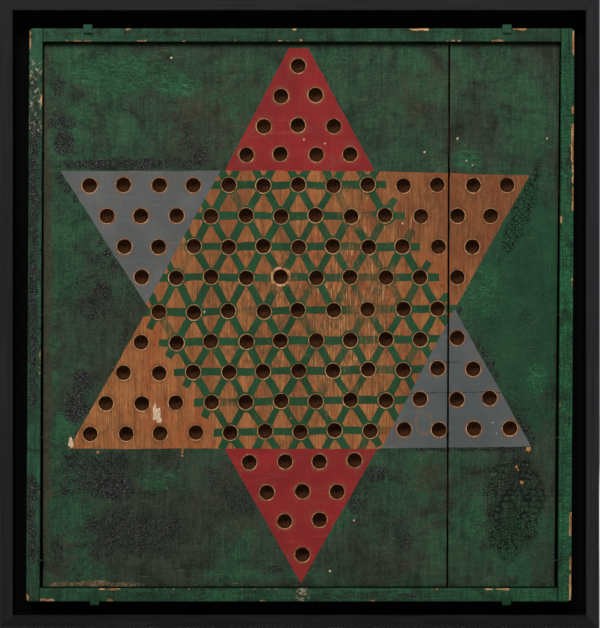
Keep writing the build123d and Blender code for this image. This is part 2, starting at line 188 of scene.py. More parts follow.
def wood(f, pale, deep, line, axis=2, bump=0.12):
    """Straight-grained wood, with its grain along one axis. Returns its colour."""
    figure = f.noise(stretched(60, 5, axis), 4, 0.6, 0.6)
    stripes = f.noise(stretched(380, 9, axis), 4, 0.65)
    hairs = f.noise(stretched(850, 20, axis), 3, 0.75)
    tone = f.mix(f.band(figure, 0.32, 0.68), deep, pale)
    tone = f.mix(f.clouds(28, 3, 0.6, 0.35, 0.7, 0.35), tone, deep)
    tone = f.mix(f.band(stripes, 0.52, 0.7, 0.0, 0.4), tone, line)
    tone = f.varied(tone, (stripes, 0.9), (hairs, 2.4))
    f.bump(f.plus(stripes, hairs), bump)
    return tone


def panel_wood(f):
    """The unpainted wood of the board: stained, with pale scratches where it is worn."""
    tone = wood(f, rgb(150, 96, 57), rgb(120, 75, 44), rgb(78, 46, 28))
    reddish = f.band(f.noise((26, 26, 15), 3, 0.6, 0.4), 0.48, 0.68, 0.0, 0.7)
    tone = f.mix(reddish, tone, rgb(140, 74, 42))
    grime = f.noise(75, 5, 0.7)
    tone = f.mix(f.band(grime, 0.57, 0.72, 0.0, 0.5), tone, rgb(78, 48, 32))
    tone = f.varied(tone, (grime, -0.5), (f.noise((700, 700, 260), 3, 0.7), 0.9))
    tone = f.over(tone, rgb(96, 55, 36), f.mark("shade"), 0.7)
    flecks = f.times(f.clouds(stretched(520, 60, 2), 4, 0.75, 0.5, 0.68), f.mark("shade"))
    tone = f.over(tone, rgb(58, 32, 24), flecks, 0.8)
    film = f.clouds((300, 300, 120), 5, 0.75, 0.43, 0.62, 0.75)
    tone = f.mix(f.times(film, f.mark("handled")), tone, rgb(74, 58, 40))
    halo = f.times(f.mark("halo"), f.band(f.noise(200, 4, 0.7), 0.34, 0.66, 0.15, 0.75))
    tone = f.mix(halo, tone, rgb(84, 50, 31))
    worn = f.mark("worn")
    ridges = f.clouds(stretched(1000, 30, 2), 3, 0.75, 0.53, 0.62)
    cuts = f.times(ridges, f.clouds((150, 150, 50), 3, 0.6, 0.42, 0.6))
    cuts = f.times(cuts, f.plus(worn, 0.12))
    tone = f.over(tone, rgb(198, 152, 100), cuts, 0.7)
    pits = f.clouds(stretched(1000, 70, 2), 3, 0.75, 0.56, 0.66)
    tone = f.mix(f.times(pits, f.plus(f.times(worn, 0.5), 0.15)), tone, rgb(62, 36, 23))
    return tone


def age(f, tone, amount=1.0):
    """Fine dirt, hairline scratches and small nicks over a paint."""
    dirt = f.clouds(900, 3, 0.65, 0.54, 0.74, 0.38 * amount)
    tone = f.mix(dirt, tone, rgb(26, 24, 20))
    scratch = f.noise(stretched(60, 1400, 2), 2, 0.6)
    lines = f.times(f.band(scratch, 0.66, 0.74), f.clouds(45, 2, 0.55, 0.5, 0.66))
    tone = f.mix(f.times(lines, 0.35 * amount), tone, rgb(150, 130, 100))
    nicks = f.clouds(520, 2, 0.5, 0.76, 0.79, 0.7 * amount)
    return f.mix(nicks, tone, rgb(150, 118, 84))


def old_green(f, dull, fresh, mossy):
    """Old green paint: clouds of dull and fresh green, darker where dirt has stayed. Returns its colour."""
    cloud = f.noise(10, 5, 0.62, 0.8)
    tone = f.mix(f.band(cloud, 0.36, 0.64), dull, fresh)
    smudge = f.noise(46, 5, 0.7, 0.5)
    tone = f.mix(f.band(smudge, 0.5, 0.68, 0.0, 0.7), tone, mossy)
    brush = f.noise((50, 50, 420), 4, 0.65, 0.3)
    weave = f.noise((400, 400, 42), 4, 0.7)
    grain = f.noise(620, 3, 0.7)
    tone = f.varied(tone, (smudge, -0.9), (brush, 0.8), (weave, 1.5), (grain, 1.3))
    f.bump(f.plus(brush, grain), 0.12)
    return tone


def sooty_net(f, tone, amount, fineness=430):
    """Crazed paint blackened with dirt: a net of black cracks that widen as the amount grows."""
    cells = f.cells((fineness, fineness, 1.25 * fineness), randomness=0.9, wobble=0.7)
    widths = f.times(amount, f.band(f.noise(240, 3, 0.7), 0.3, 0.7, 0.02, 0.2))
    net = f.band(f.minus(cells, widths), 0.0, 0.11, 1.0, 0.0)
    net = f.times(net, f.band(amount, 0.0, 0.3))
    sooted = f.mix(f.clouds(90, 4, 0.7, 0.35, 0.65), rgb(48, 58, 50), rgb(66, 64, 66))
    sooted = f.varied(sooted, (f.noise(520, 2, 0.6), 2.0))
    tone = f.over(tone, sooted, amount, 0.85)
    tone = f.over(tone, rgb(19, 20, 19), net, 0.92)
    # Painted glints: pale specks in the thickest soot, standing for light caught by the crazed paint.
    painted_glint = f.clouds((480, 480, 900), 2, 0.6, 0.6, 0.67, 0.75)
    tone = f.mix(f.times(painted_glint, f.band(amount, 0.4, 0.9)), tone, rgb(112, 110, 114))
    f.bump(f.times(f.minus(1.0, net), amount), 0.3)
    return tone


def square_cracks(f):
    """Wide drying cracks that run level and upright, like the joints of a brick wall."""
    wander = f.minus(f.noise(170, 3, 0.6), 0.5)
    places = f.add("ShaderNodeSeparateXYZ", {0: f.scaled(100)}).outputs
    across = f.plus(places[0], f.times(wander, 1.1))
    above = f.plus(places[2], f.times(f.minus(f.noise(110, 3, 0.6), 0.5), 0.75))
    flat = f.add("ShaderNodeCombineXYZ", {0: across, 1: above}).outputs[0]
    size = f.band(f.noise((70, 70, 130), 3, 0.6), 0.38, 0.62, 0.02, 0.15)
    inputs = {"Vector": flat, "Scale": 1.0, "Mortar Size": size, "Mortar Smooth": 0.2}
    inputs.update({"Brick Width": 0.66, "Row Height": 0.52})
    joints = f.add("ShaderNodeTexBrick", inputs, offset=0.37).outputs["Fac"]
    return f.times(joints, f.clouds((130, 130, 150), 2, 0.6, 0.38, 0.46))


def ground_paint():
    f = Finish("ground_green_paint")
    tone = old_green(f, rgb(44, 52, 42), rgb(40, 71, 51), rgb(36, 38, 31))
    ragged = f.minus(f.noise(55, 6, 0.75), 0.5)
    grain = f.minus(f.noise(420, 4, 0.75), 0.5)
    ragged = f.plus(ragged, f.times(grain, 0.7))

    def patch(name, low=0.35, high=0.7, spread=0.9):
        return f.band(f.plus(f.mark(name), f.times(ragged, spread)), low, high)

    olive = f.varied(rgb(56, 52, 42), (f.noise(150, 4, 0.7), 1.6), (f.noise((60, 60, 500), 3, 0.7), 1.0))
    tone = f.over(tone, olive, patch("olive", 0.25, 0.95, 1.8), 0.85)
    deep = f.mix(f.noise((30, 30, 8), 4, 0.6), rgb(22, 46, 32), rgb(32, 76, 51))
    tone = f.over(tone, deep, patch("deep", 0.2, 0.8, 1.2), 0.75)
    ripple = f.noise((85, 85, 420), 4, 0.65, 1.4)
    fresh = f.mix(f.band(ripple, 0.4, 0.6), rgb(28, 62, 43), rgb(42, 98, 66))
    fresh = f.varied(fresh, (f.noise(500, 3, 0.7), 1.2))
    lively = patch("bright", 0.2, 1.05, 1.6)
    tone = f.over(tone, fresh, lively, 0.62)
    # Painted highlights: thin pale green lines along the paint's wrinkles in the bright patches, standing for
    # light on their ridges.
    wrinkle_highlights = f.band(f.noise((190, 190, 560), 3, 0.7, 1.0), 0.56, 0.68, 0.0, 0.6)
    tone = f.mix(f.times(wrinkle_highlights, lively), tone, rgb(84, 124, 92))
    furrows = f.band(f.noise((170, 170, 480), 3, 0.7, 1.2), 0.6, 0.7, 0.0, 0.65)
    tone = f.mix(f.times(furrows, f.plus(lively, 0.2)), tone, rgb(24, 36, 26))
    scuffs = f.times(f.clouds((420, 420, 640), 3, 0.7, 0.58, 0.7), f.clouds(26, 3, 0.55, 0.4, 0.65))
    tone = f.over(tone, rgb(104, 104, 84), scuffs, 0.4)

    soot = patch("black", 0.1, 1.0, 1.5)
    tone = sooty_net(f, tone, soot)

    boxed = patch("square", 0.25, 0.55, 0.8)
    fine = f.band(f.cells((330, 330, 410), randomness=0.6, wobble=0.3), 0.02, 0.16, 1.0, 0.0)
    fine = f.times(fine, f.minus(1.0, f.times(boxed, 0.3)))
    fine = f.times(fine, patch("crackle", 0.2, 0.75, 1.0))
    web = f.band(f.cells((290, 290, 260), randomness=0.8, wobble=0.3), 0.02, 0.14, 1.0, 0.0)
    web = f.times(web, patch("web", 0.25, 0.6, 0.9))
    squares = f.times(square_cracks(f), boxed)
    cracks = f.math("MAXIMUM", f.most(fine, web), squares, True)
    hair = f.band(f.cells((430, 430, 560), randomness=1.0, wobble=0.8), 0.0, 0.11, 0.7, 0.0)
    hair = f.times(hair, f.clouds(30, 3, 0.55, 0.36, 0.62))
    tone = f.mix(f.most(f.times(cracks, 0.95), hair), tone, rgb(15, 17, 14))

    edge = f.plus(f.mark("bare"), f.times(ragged, 1.3))
    bare = f.mix(f.clouds(400, 3, 0.55, 0.4, 0.65), rgb(66, 62, 46), rgb(108, 94, 70))
    tone = f.mix(f.band(edge, 0.5, 0.62), tone, bare)
    # Painted shadow under the top edge strip: the ground darkens towards near black at the plank's top edge.
    tone = f.mix(f.mark("gloom"), tone, rgb(20, 19, 13))
    f.bump(cracks, -0.15)
    tone = age(f, tone)
    gloss = f.minus(f.band(f.noise(240, 3), 0.3, 0.7, 0.52, 0.7), f.times(soot, 0.15))
    return f.done(tone, gloss)


def level_crack(f, height, left, right):
    """Where a dark hairline runs level across the board. Its place is in millimetres."""
    places = f.places()
    wander = f.times(f.minus(f.noise(45, 4, 0.7), 0.5), 5 * MM)
    off = f.math("ABSOLUTE", f.plus(f.minus(places[2], height * MM), wander))
    line = f.band(off, 0.15 * MM, 0.6 * MM, 1.0, 0.0)
    starts = f.band(places[0], left * MM, (left + 8) * MM)
    ends = f.band(places[0], (right - 8) * MM, right * MM, 1.0, 0.0)
    return f.times(line, f.times(starts, ends))


def worn_paint(name, full, deep, chalk, cool, cracks=(), stain=None, streak_axis=2):
    """Thin paint over the board's wood: a red or blue point of the star."""
    f = Finish(name)
    under = panel_wood(f)
    cloud = f.noise(24, 4, 0.6, 0.4)
    tone = f.mix(f.band(cloud, 0.3, 0.7), deep, full)
    tone = f.mix(f.clouds(70, 5, 0.7, 0.5, 0.7, 0.28), tone, rgb(96, 70, 56))
    streak = f.noise(stretched(500, 26, streak_axis), 3, 0.6)
    tone = f.mix(f.band(streak, 0.48, 0.72, 0.0, 0.5), tone, deep)
    tone = f.mix(f.clouds(stretched(260, 18, 0), 3, 0.6, 0.56, 0.74, 0.45), tone, chalk)
    tone = f.over(tone, cool, f.mark("shade"), 0.8)
    halo = f.times(f.mark("halo"), f.clouds(160, 4, 0.7, 0.4, 0.66, 0.8))
    tone = f.mix(halo, tone, rgb(108, 72, 50))
    thin = f.times(f.clouds(170, 5, 0.7, 0.66, 0.73), 0.7)
    thin = f.most(thin, f.clouds(stretched(1300, 60, 2), 2, 0.7, 0.72, 0.78, 0.5))
    tone = f.mix(thin, tone, under)
    f.bump(f.minus(streak, thin), 0.12)
    for crack in cracks:
        tone = f.over(tone, rgb(30, 32, 30), level_crack(f, *crack), 0.8)
    if stain:
        x, z, radius = stain
        squash = (1, 0, 0.74)
        level = f.vector("MULTIPLY", {0: f.place, 1: squash})
        spot = (x * MM, 0, z * squash[2] * MM)
        away = f.add("ShaderNodeVectorMath", {0: level, 1: spot}, operation="DISTANCE").outputs["Value"]
        ring = f.band(f.math("ABSOLUTE", f.minus(away, radius * MM)), 0.2 * MM, 1.5 * MM, 0.75, 0.0)
        ring = f.times(ring, f.clouds(170, 4, 0.7, 0.36, 0.58))
        tone = f.mix(ring, tone, rgb(120, 84, 62))
    # Painted shadow under the top edge strip, as on the green ground.
    tone = f.over(tone, rgb(30, 24, 18), f.mark("gloom"), 0.6)
    return f.done(age(f, tone, 0.8), f.band(cloud, 0.3, 0.7, 0.5, 0.66))


def lattice_paint():
    """The green lines between the sockets, faded line by line."""
    f = Finish("lattice_green_paint")
    under = panel_wood(f)
    tone = f.mix(f.clouds(40, 4, 0.6, 0.3, 0.7), rgb(29, 57, 36), rgb(35, 71, 45))
    tone = f.mix(f.clouds(stretched(700, 30, 2), 3, 0.6, 0.5, 0.75, 0.4), tone, rgb(25, 46, 30))
    grain = f.noise(stretched(520, 90, 2), 5, 0.75)
    rub = f.plus(f.mark("fade"), f.times(f.mark("worn"), 0.18))
    lost = f.band(f.plus(rub, f.times(grain, 0.9)), 0.66, 1.02)
    chip = f.clouds(330, 3, 0.6, 0.68, 0.71, 0.8)
    tone = f.mix(f.most(f.times(lost, 0.85), chip), tone, under)
    f.bump(f.minus(1.0, f.most(lost, chip)), 0.1)
    return f.done(age(f, tone, 0.5), f.band(grain, 0.3, 0.7, 0.5, 0.64))


def bare_panel():
    f = Finish("stained_panel_wood")
    return f.done(age(f, panel_wood(f), 0.6), f.band(f.noise(200, 3), 0.3, 0.7, 0.5, 0.68))


def socket_rim():
    """The pale ring round a socket, where marbles and fingers have taken off the paint and stain."""
    f = Finish("worn_socket_rim")
    tone = wood(f, rgb(190, 146, 102), rgb(156, 108, 72), rgb(104, 64, 40))
    dirty = f.clouds(230, 4, 0.7, 0.44, 0.64)
    tone = f.over(tone, rgb(92, 54, 32), dirty, 0.85)
    return f.done(tone, 0.62)


def socket_wood():
    """The inside of a socket: end grain torn by the drill, painted very dark as painted shade in the hole."""
    f = Finish("drilled_socket_wood_with_painted_shade", 0.08)
    rings = f.places()[1]
    turn = f.math("SINE", f.times(rings, 9000.0))
    torn = f.noise((1300, 500, 1300), 4, 0.7)
    # These dark browns are partly the end grain's own colour and partly painted shade deep in the socket.
    tone = f.mix(f.band(torn, 0.36, 0.66), rgb(26, 12, 4), rgb(78, 44, 20))
    tone = f.mix(f.band(turn, 0.2, 1.0, 0.0, 0.35), tone, rgb(40, 20, 9))
    f.bump(f.plus(torn, f.times(turn, 0.25)), 0.3)
    return f.done(tone, 0.7)


def sawn_edge():
    f = Finish("sawn_panel_edge")
    tone = wood(f, rgb(48, 36, 25), rgb(32, 24, 17), rgb(18, 13, 9))
    saw = f.add("ShaderNodeTexWave", {"Vector": f.place, "Scale": 160.0, "Distortion": 6.0, "Detail": 2.0})
    f.bump(saw.outputs[1], 0.1)
    return f.done(tone, 0.75)


def strip_paint(name, dull, fresh, axis):
    """Green paint on an edge strip, with bare wood where its corners are knocked."""
    f = Finish(name)
    tone = old_green(f, dull, fresh, rgb(32, 44, 35))
    grain = f.noise(stretched(700, 16, axis), 3, 0.6)
    tone = f.mix(f.band(grain, 0.5, 0.72, 0.0, 0.6), tone, rgb(20, 30, 23))
    ragged = f.minus(f.noise(stretched(420, 130, axis), 4, 0.7), 0.5)
    uneven = f.plus(ragged, f.minus(f.noise(60, 4, 0.7), 0.5))
    soot = f.band(f.plus(f.mark("black"), f.times(uneven, 1.2)), 0.15, 1.0)
    tone = sooty_net(f, tone, soot, 600)
    crack = f.band(f.cells(stretched(150, 420, axis), wobble=0.6), 0.0, 0.07, 1.0, 0.0)
    crack = f.times(crack, f.mark("cracked"))
    tone = f.over(tone, rgb(16, 20, 16), crack, 0.85)
    torn = f.minus(f.noise(stretched(380, 300, axis), 4, 0.75), 0.5)
    flake = f.plus(f.mark("flaking"), f.times(torn, 2.6))
    pale = f.mix(f.clouds(800, 3, 0.55, 0.4, 0.65), rgb(126, 102, 74), rgb(150, 156, 142))
    tone = f.mix(f.band(flake, 0.84, 1.1, 0.0, 0.8), tone, pale)
    raw = f.mix(f.clouds(stretched(500, 60, axis), 3, 0.6, 0.35, 0.68), rgb(132, 88, 50), rgb(190, 154, 112))
    edge = f.plus(f.mark("bare"), f.times(ragged, 1.6))
    bare = f.band(edge, 0.5, 0.66)
    tone = f.mix(bare, tone, raw)
    f.bump(f.minus(grain, f.plus(crack, bare)), 0.2)
    return f.done(age(f, tone, 0.7), f.band(f.noise(200, 3), 0.3, 0.7, 0.42, 0.6))


def black_frame(name, axis, level):
    """Black satin stain on a frame rail, at a brightness level given per rail. The faces towards the well are
    painted near black, darker than the front, as painted shade.
    """
    f = Finish(name, 0.1)
    grain = f.noise(stretched(900, 12, axis), 4, 0.6)
    dark, light = rgb(level - 6, level - 8, level - 5), rgb(level + 4, level + 3, level + 6)
    tone = f.mix(f.band(grain, 0.35, 0.7), dark, light)
    tone = f.mix(f.clouds(9, 3, 0.55, 0.35, 0.7, 0.5), tone, dark)
    places = f.places()
    half_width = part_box("right_frame_rail")[0].x + 0.1 * MM
    half_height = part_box("top_frame_rail")[0].z + 0.1 * MM
    in_x = f.math("LESS_THAN", f.math("ABSOLUTE", places[0]), half_width)
    in_z = f.math("LESS_THAN", f.math("ABSOLUTE", places[2]), half_height)
    # Painted shade: the rail faces inside the opening, towards the board, are painted near black.
    tone = f.mix(f.times(in_x, in_z), tone, rgb(5, 5, 5))
    dust = f.clouds(1600, 2, 0.6, 0.7, 0.78, 0.2)
    tone = f.mix(dust, tone, rgb(90, 88, 86))
    f.bump(grain, 0.08)
    return f.done(tone, f.band(grain, 0.3, 0.7, 0.5, 0.62))


def raw_timber(name, pale, deep, axis):
    f = Finish(name, 0.3)
    tone = wood(f, pale, deep, rgb(116, 80, 48), axis, 0.2)
    saw = f.add("ShaderNodeTexWave", {"Vector": f.place, "Scale": 90.0, "Distortion": 5.0, "Detail": 2.0})
    f.bump(saw.outputs[1], 0.06)
    tone = f.mix(f.clouds(35, 4, 0.65, 0.55, 0.75, 0.3), tone, deep)
    return f.done(tone, f.band(f.noise(150, 3), 0.3, 0.7, 0.6, 0.78))


def backing():
    """Black-faced fibreboard."""
    f = Finish("black_fibreboard", 0.04)
    fibre = f.noise((1100, 300, 700), 5, 0.75, 0.6)
    tone = f.mix(f.band(fibre, 0.35, 0.68), rgb(5, 5, 5), rgb(9, 8, 8))
    tone = f.mix(f.clouds(12, 4, 0.6, 0.5, 0.75, 0.5), tone, rgb(11, 10, 10))
    low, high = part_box("backing_panel")
    depth = f.places()[1]
    pulp = f.mix(f.band(fibre, 0.35, 0.68), rgb(84, 60, 40), rgb(112, 82, 56))
    pulp = f.mix(f.clouds(18, 4, 0.65, 0.45, 0.75, 0.6), pulp, rgb(78, 56, 38))
    tone = f.mix(f.math("GREATER_THAN", depth, (low.y + high.y) / 2), tone, pulp)
    f.bump(fibre, 0.15)
    return f.done(tone, f.band(fibre, 0.3, 0.7, 0.7, 0.85))


def metal(name, pale, deep, roughness, rust=None, amount=0.0):
    f = Finish(name, 0.5, 1.0)
    brushed = f.noise((900, 900, 2600), 3, 0.6)
    tone = f.mix(f.band(brushed, 0.35, 0.68), deep, pale)
    tone = f.mix(f.clouds(300, 4, 0.7, 0.45, 0.75, 0.5), tone, deep)
    if rust:
        tone = f.mix(f.clouds(260, 5, 0.7, 0.5, 0.66, amount), tone, rust)
    f.bump(f.noise(1400, 3, 0.6), 0.05)
    return f.done(tone, f.band(brushed, 0.3, 0.7, roughness - 0.08, roughness + 0.1))


def painted_metal(name, dull, fresh):
    """A clip: metal strip brushed with the board's green, thin on its bends, and painted near black behind
    its front bend as painted shade.
    """
    f = Finish(name)
    brush = f.noise((200, 200, 900), 4, 0.6, 0.3)
    tone = f.mix(f.band(brush, 0.35, 0.68), dull, fresh)
    tone = f.mix(f.clouds(700, 4, 0.7, 0.55, 0.7, 0.5), tone, rgb(28, 46, 37))
    rubbed = f.clouds(420, 4, 0.7, 0.68, 0.74, 0.8)
    tone = f.mix(rubbed, tone, rgb(120, 104, 66))
    # Painted shade: from 2 mm behind the clip's front, the green fades to near black by 6 mm.
    depth = f.places()[1]
    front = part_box("top_left_clip")[0].y
    tone = f.mix(f.band(depth, front + 2 * MM, front + 6 * MM), tone, rgb(4, 5, 4))
    f.bump(brush, 0.1)
    return f.done(tone, f.band(brush, 0.3, 0.7, 0.45, 0.6))


def rubber(name, pale, deep):
    f = Finish(name, 0.3)
    grain = f.noise(1800, 3, 0.6)
    tone = f.mix(f.band(grain, 0.35, 0.7), deep, pale)
    tone = f.mix(f.clouds(260, 4, 0.55, 0.5, 0.7, 0.4), tone, rgb(84, 82, 78))
    f.bump(grain, 0.06)
    return f.done(tone, f.band(grain, 0.3, 0.7, 0.7, 0.85))


def fleck_paint(name, pale, deep):
    f = Finish(name, 0.3)
    tone = f.mix(f.clouds(900, 4, 0.7, 0.38, 0.64), deep, pale)
    f.bump(f.noise(1500, 3, 0.6), 0.1)
    return f.done(tone, 0.7)


# ------------------------------------------------ what the board looks like, in millimetres

# Corners of the star, as (right of centre, above centre)
TIP_LEFT, TIP_RIGHT, BOTTOM = (-9.4, 241.0), (7.9, 241.0), (1.4, -246.0)
UPPER_LEFT, UPPER_RIGHT = (-217.4, 129.0), (209.3, 124.9)
LOWER_LEFT, LOWER_RIGHT = (-209.8, -123.6), (210.8, -121.8)
NOTCH_TOP_LEFT, NOTCH_TOP_RIGHT = (-67.4, 129.5), (68.6, 128.8)
NOTCH_LEFT, NOTCH_RIGHT = (-137.3, 4.3), (141.2, 3.4)
NOTCH_BOTTOM_LEFT, NOTCH_BOTTOM_RIGHT = (-67.9, -123.7), (70.6, -124.0)
# Where the blue paint stops short of the notches
BLUE_TOP, BLUE_SIDE, BLUE_FOOT = (-71.6, 129.4), (-139.5, 7.6), (74.6, -123.3)

# Patches as (right of centre, above centre, half width, half height, strength)
BLACK = [
    (-216, 173, 12, 7, 0.8), (-214, 154, 9, 11, 0.9), (-220, 206, 7, 9, 0.5), (-163, 135, 54, 5, 1),
    (-99, 136, 27, 6, 0.5), (-178, 19, 9, 9, 0.7), (-193, 6, 9, 11, 0.6), (-185, 25, 20, 41, 0.35),
    (-198, -66, 10, 13, 0.8), (-203, -90, 11, 13, 1), (-185, -147, 36, 24, 0.6), (-170, -158, 22, 11, 0.9),
    (-156, -199, 49, 23, 0.6), (-221, -220, 8, 16, 0.6), (-78, -149, 7, 13, 0.5), (-54, -167, 18, 18, 0.45),
    (-26, -234, 12, 5, 0.5), (69, -147, 11, 8, 0.7), (52, -176, 9, 7, 0.5), (95, -204, 9, 18, 0.5),
    (91, -152, 11, 11, 0.35), (152, -125, 58, 1.8, 0.7), (-90, 157, 22, 20, 0.4),
    (-117, 175, 13, 13, 0.35), (204.7, -138, 5, 4, 1),
]
WEB = [
    (202, 92, 10, 13, 0.9), (196, 76, 9, 12, 0.9), (211, 110, 6, 16, 0.8), (216, 130, 5, 9, 0.6),
    (190, 62, 6, 9, 0.7), (184, 48, 5, 8, 0.5), (182, 13, 5, 7, 0.4),
]
CRACKLE = [
    (196, -174, 27, 45, 1), (190, -204, 20, 20, 0.9), (209, -3, 11, 7, 0.4), (196, -84, 13, 34, 0.45),
    (155, -123, 54, 3, 0.8), (-181, -134, 41, 11, 0.45), (-135, -224, 63, 18, 0.3), (-158, 229, 54, 27, 0.35),
]
SQUARE_CRACKS = [(203, -170, 21, 18, 1), (188, -180, 12, 9, 0.8)]
BRIGHT = [
    (-113, 207, 22, 13, 1), (-158, 218, 53, 18, 0.8), (-201, 175, 15, 20, 0.6), (151, 139, 16, 11, 0.9),
    (-201, 34, 13, 25, 0.5), (-224, -29, 7, 11, 0.7), (164, 21, 20, 25, 0.8), (215, -63, 11, 20, 0.8),
    (161, -194, 13, 22, 0.8), (-131, -153, 22, 13, 0.7), (-190, -238, 22, 11, 0.6), (37, 166, 27, 36, 0.4),
    (-126, 188, 15, 18, 0.4), (-215, -102, 7, 13, 0.8), (-27, -238, 63, 7, 0.6), (-76, -115, 27, 11, 0.5),
    (91, -129, 36, 9, 0.4), (223, 148, 13, 54, 0.4),
]
OLIVE = [
    (-231, 12, 6, 263, 1), (-90, 166, 33, 45, 0.7), (-163, -34, 45, 54, 0.35), (-217, -224, 16, 22, 0.7),
    (-63, -165, 36, 45, 0.6), (118, -170, 22, 54, 0.5), (118, 202, 36, 36, 0.5), (-54, 184, 27, 54, 0.5),
    (227, -224, 13, 27, 0.4), (118, -224, 54, 15, 0.5),
]
DEEP = [
    (200, 10, 44, 120, 0.9), (168, -60, 20, 60, 0.6), (205, -200, 30, 50, 0.5), (215, 120, 20, 60, 0.5),
    (-205, 40, 20, 60, 0.3), (150, -215, 25, 30, 0.4),
]
BARE = [(-185, -248, 47, 4.0, 1), (-72, -247, 63, 1.4, 0.5), (128, -245, 11, 1.8, 0.6),
        (-151, 213, 7, 11, 0.3)]
WORN = [
    (46, 12, 41, 118, 1), (64, 84, 36, 36, 0.8), (91, 89, 27, 27, 0.5), (1, -97, 54, 18, 0.5),
    (-154, -93, 45, 27, 0.5),
]
SHADED = [
    (160, 85, 50, 60, 0.75), (100, 100, 60, 40, 0.5), (-60, 100, 40, 30, 0.3), (150, -80, 60, 50, 0.6),
    (98, 78, 12, 34, 0.9),
]
HANDLED = [(2, 2, 98, 98, 1), (-150, -90, 50, 35, 0.3), (160, 90, 50, 35, 0.6)]
RUBBED = [
    (57, 84, 14, 8, 0.75), (105, 100, 14, 12, 0.7), (100, 70, 14, 10, 0.5), (58, 10, 14, 16, 0.55),
    (-18, 32, 18, 14, 0.6), (-70, -85, 16, 8, 0.7), (-90, 60, 10, 8, 0.4), (75, 18, 30, 24, 0.4),
    (45, 100, 14, 14, 0.45), (20, -10, 20, 12, 0.35), (-125, 2, 14, 10, 0.4), (120, 58, 12, 10, 0.4),
]

# Knocks along the strips' corners, as (from, to, depth)
LEFT_OUTER = [(238, 257, 0.8), (-262, -255, 2.4)]
LEFT_INNER = [(186, 199, 1.4), (-57, -32, 0.9), (-169, -159, 0.9), (-235, -228, 0.8)]
RIGHT_OUTER = [
    (232, 258, 1.3), (180, 190, 1.4), (136, 173, 3.4), (92, 136, 0.9), (-204, -180, 2.2), (-259, -219, 1.2),
    (-262, -252, 2.2), (20, 34, 0.7),
]
RIGHT_INNER = [(80, 90, 1.4), (-52, -48, 1.2), (-88, -79, 1.3), (-176, -168, 1.3), (-20, -14, 0.7)]
TOP_INNER = [
    (-213, -187, 1.2), (-150, -136, 1.1), (-110, -98, 0.6), (-60, -52, 0.6), (-22, 5, 0.9), (60, 72, 0.6),
    (131, 149, 1.1), (173, 187, 1.4),
]
TOP_OUTER = [(98, 119, 1.3), (193, 208, 1.5), (-7, -1, 1.0), (-160, -150, 0.6)]
BOTTOM_OUTER = [(-238, -222, 3.4), (-178, -169, 1.5), (-40, -30, 0.7), (60, 70, 0.6)]
BOTTOM_INNER = [
    (-183, -162, 1.5), (-138, -72, 0.6), (-90, -5, 0.6), (113, 128, 1.1), (167, 192, 1.5), (30, 44, 0.6),
]

# Specks of cream paint and of tan primer that stand on the surface, as (right, above, radius)
CREAM_SPECKS = [
    (114, 146, 0.9), (144, 158.5, 1.0), (152, 138.5, 0.8), (157.5, 134, 0.7), (225.5, 158.5, 0.9),
    (94, 81.4, 0.9), (27.8, -235, 0.9), (49.6, -189, 0.8), (176, -100, 0.6), (179.3, -110, 0.55),
    (-86.5, 0.7, 0.9), (-116.4, 232, 1.1), (23.3, 154, 0.7), (4.2, 157.6, 0.8), (-208.0, -118.4, 2.1, 4.4),
]
CREAM_SMEAR = [(-129.6, -93.5, 3.0, 6.0), (-131.5, -87.5, 1.8, 4.6), (-127.0, -97.5, 2.2, 2.6)]
TAN_SPECKS = [
    (208.4, -124.6, 2.0), (197.8, -140.4, 1.5), (202.4, -154.4, 1.7), (199.2, -143.4, 0.8),
    (-106.4, -127, 1.2), (-106.6, -130, 1.0), (-106.2, -124.5, 0.9), (-183.5, -127, 1.2),
]


def along_edge(a, b, off, count, half, strength):
    """Patches in a row beside a painted edge that runs from a to b."""
    length = math.dist(a, b)
    out = ((b[1] - a[1]) / length, (a[0] - b[0]) / length)
    spots = [((i + 0.5) / count, 1 + 0.4 * math.sin(5.3 * i)) for i in range(count)]
    return [
        (a[0] + (b[0] - a[0]) * t - out[0] * off * w, a[1] + (b[1] - a[1]) * t - out[1] * off * w,
         half * w, half * 2.2, strength * w)
        for t, w in spots
    ]


BLACK += along_edge(NOTCH_RIGHT, LOWER_RIGHT, 2.8, 13, 2.6, 0.55)
BLACK += along_edge(NOTCH_LEFT, UPPER_LEFT, 2.6, 13, 2.4, 0.55)

# Each mark's patches, and how ragged their borders are
MARKS = {
    "black": (BLACK, 1), "crackle": (CRACKLE, 0.6), "web": (WEB, 0.6), "square": (SQUARE_CRACKS, 0.5),
    "bright": (BRIGHT, 1), "olive": (OLIVE, 1), "deep": (DEEP, 1), "bare": (BARE, 0.5), "worn": (WORN, 1),
    "shade": (SHADED, 1), "handled": (HANDLED, 0.4),
}

# ---------------------------------------------------------------- mesh helpers


def drift(a, b, size, seed=0.0):
    """Smooth noise from about -0.5 to 0.5, with bumps of about the given size."""
    return 0.7 * noise.noise(Vector((a / size, b / size, seed)))


def inside(points, polygon):
    """Which of the points lie in the polygon."""
    px, pz = points[:, 0], points[:, 1]
    found = np.zeros(len(points), bool)
    polygon = np.asarray(polygon)
    for (ax, az), (bx, bz) in zip(polygon, np.roll(polygon, -1, 0)):
        crosses = (az > pz) != (bz > pz)
        if crosses.any():
            found ^= crosses & (px < (bx - ax) * (pz - az) / ((bz - az) or 1e-9) + ax)
    return found


def field(spots, patches, waver):
    """How strongly each spot lies in the patches, from 0 to 1."""
    total = np.zeros(len(spots))
    for x, z, wide, tall, strength in patches:
        away = np.hypot((spots[:, 0] - x) / wide, (spots[:, 1] - z) / tall) + waver
        step = np.clip((1.45 - away) / 0.9, 0, 1)
        total = np.maximum(total, strength * step * step * (3 - 2 * step))
    return total


def sides(loop):
    """The sides of a closed loop, each as (from, to)."""
    return list(zip(loop, loop[1:] + loop[:1]))


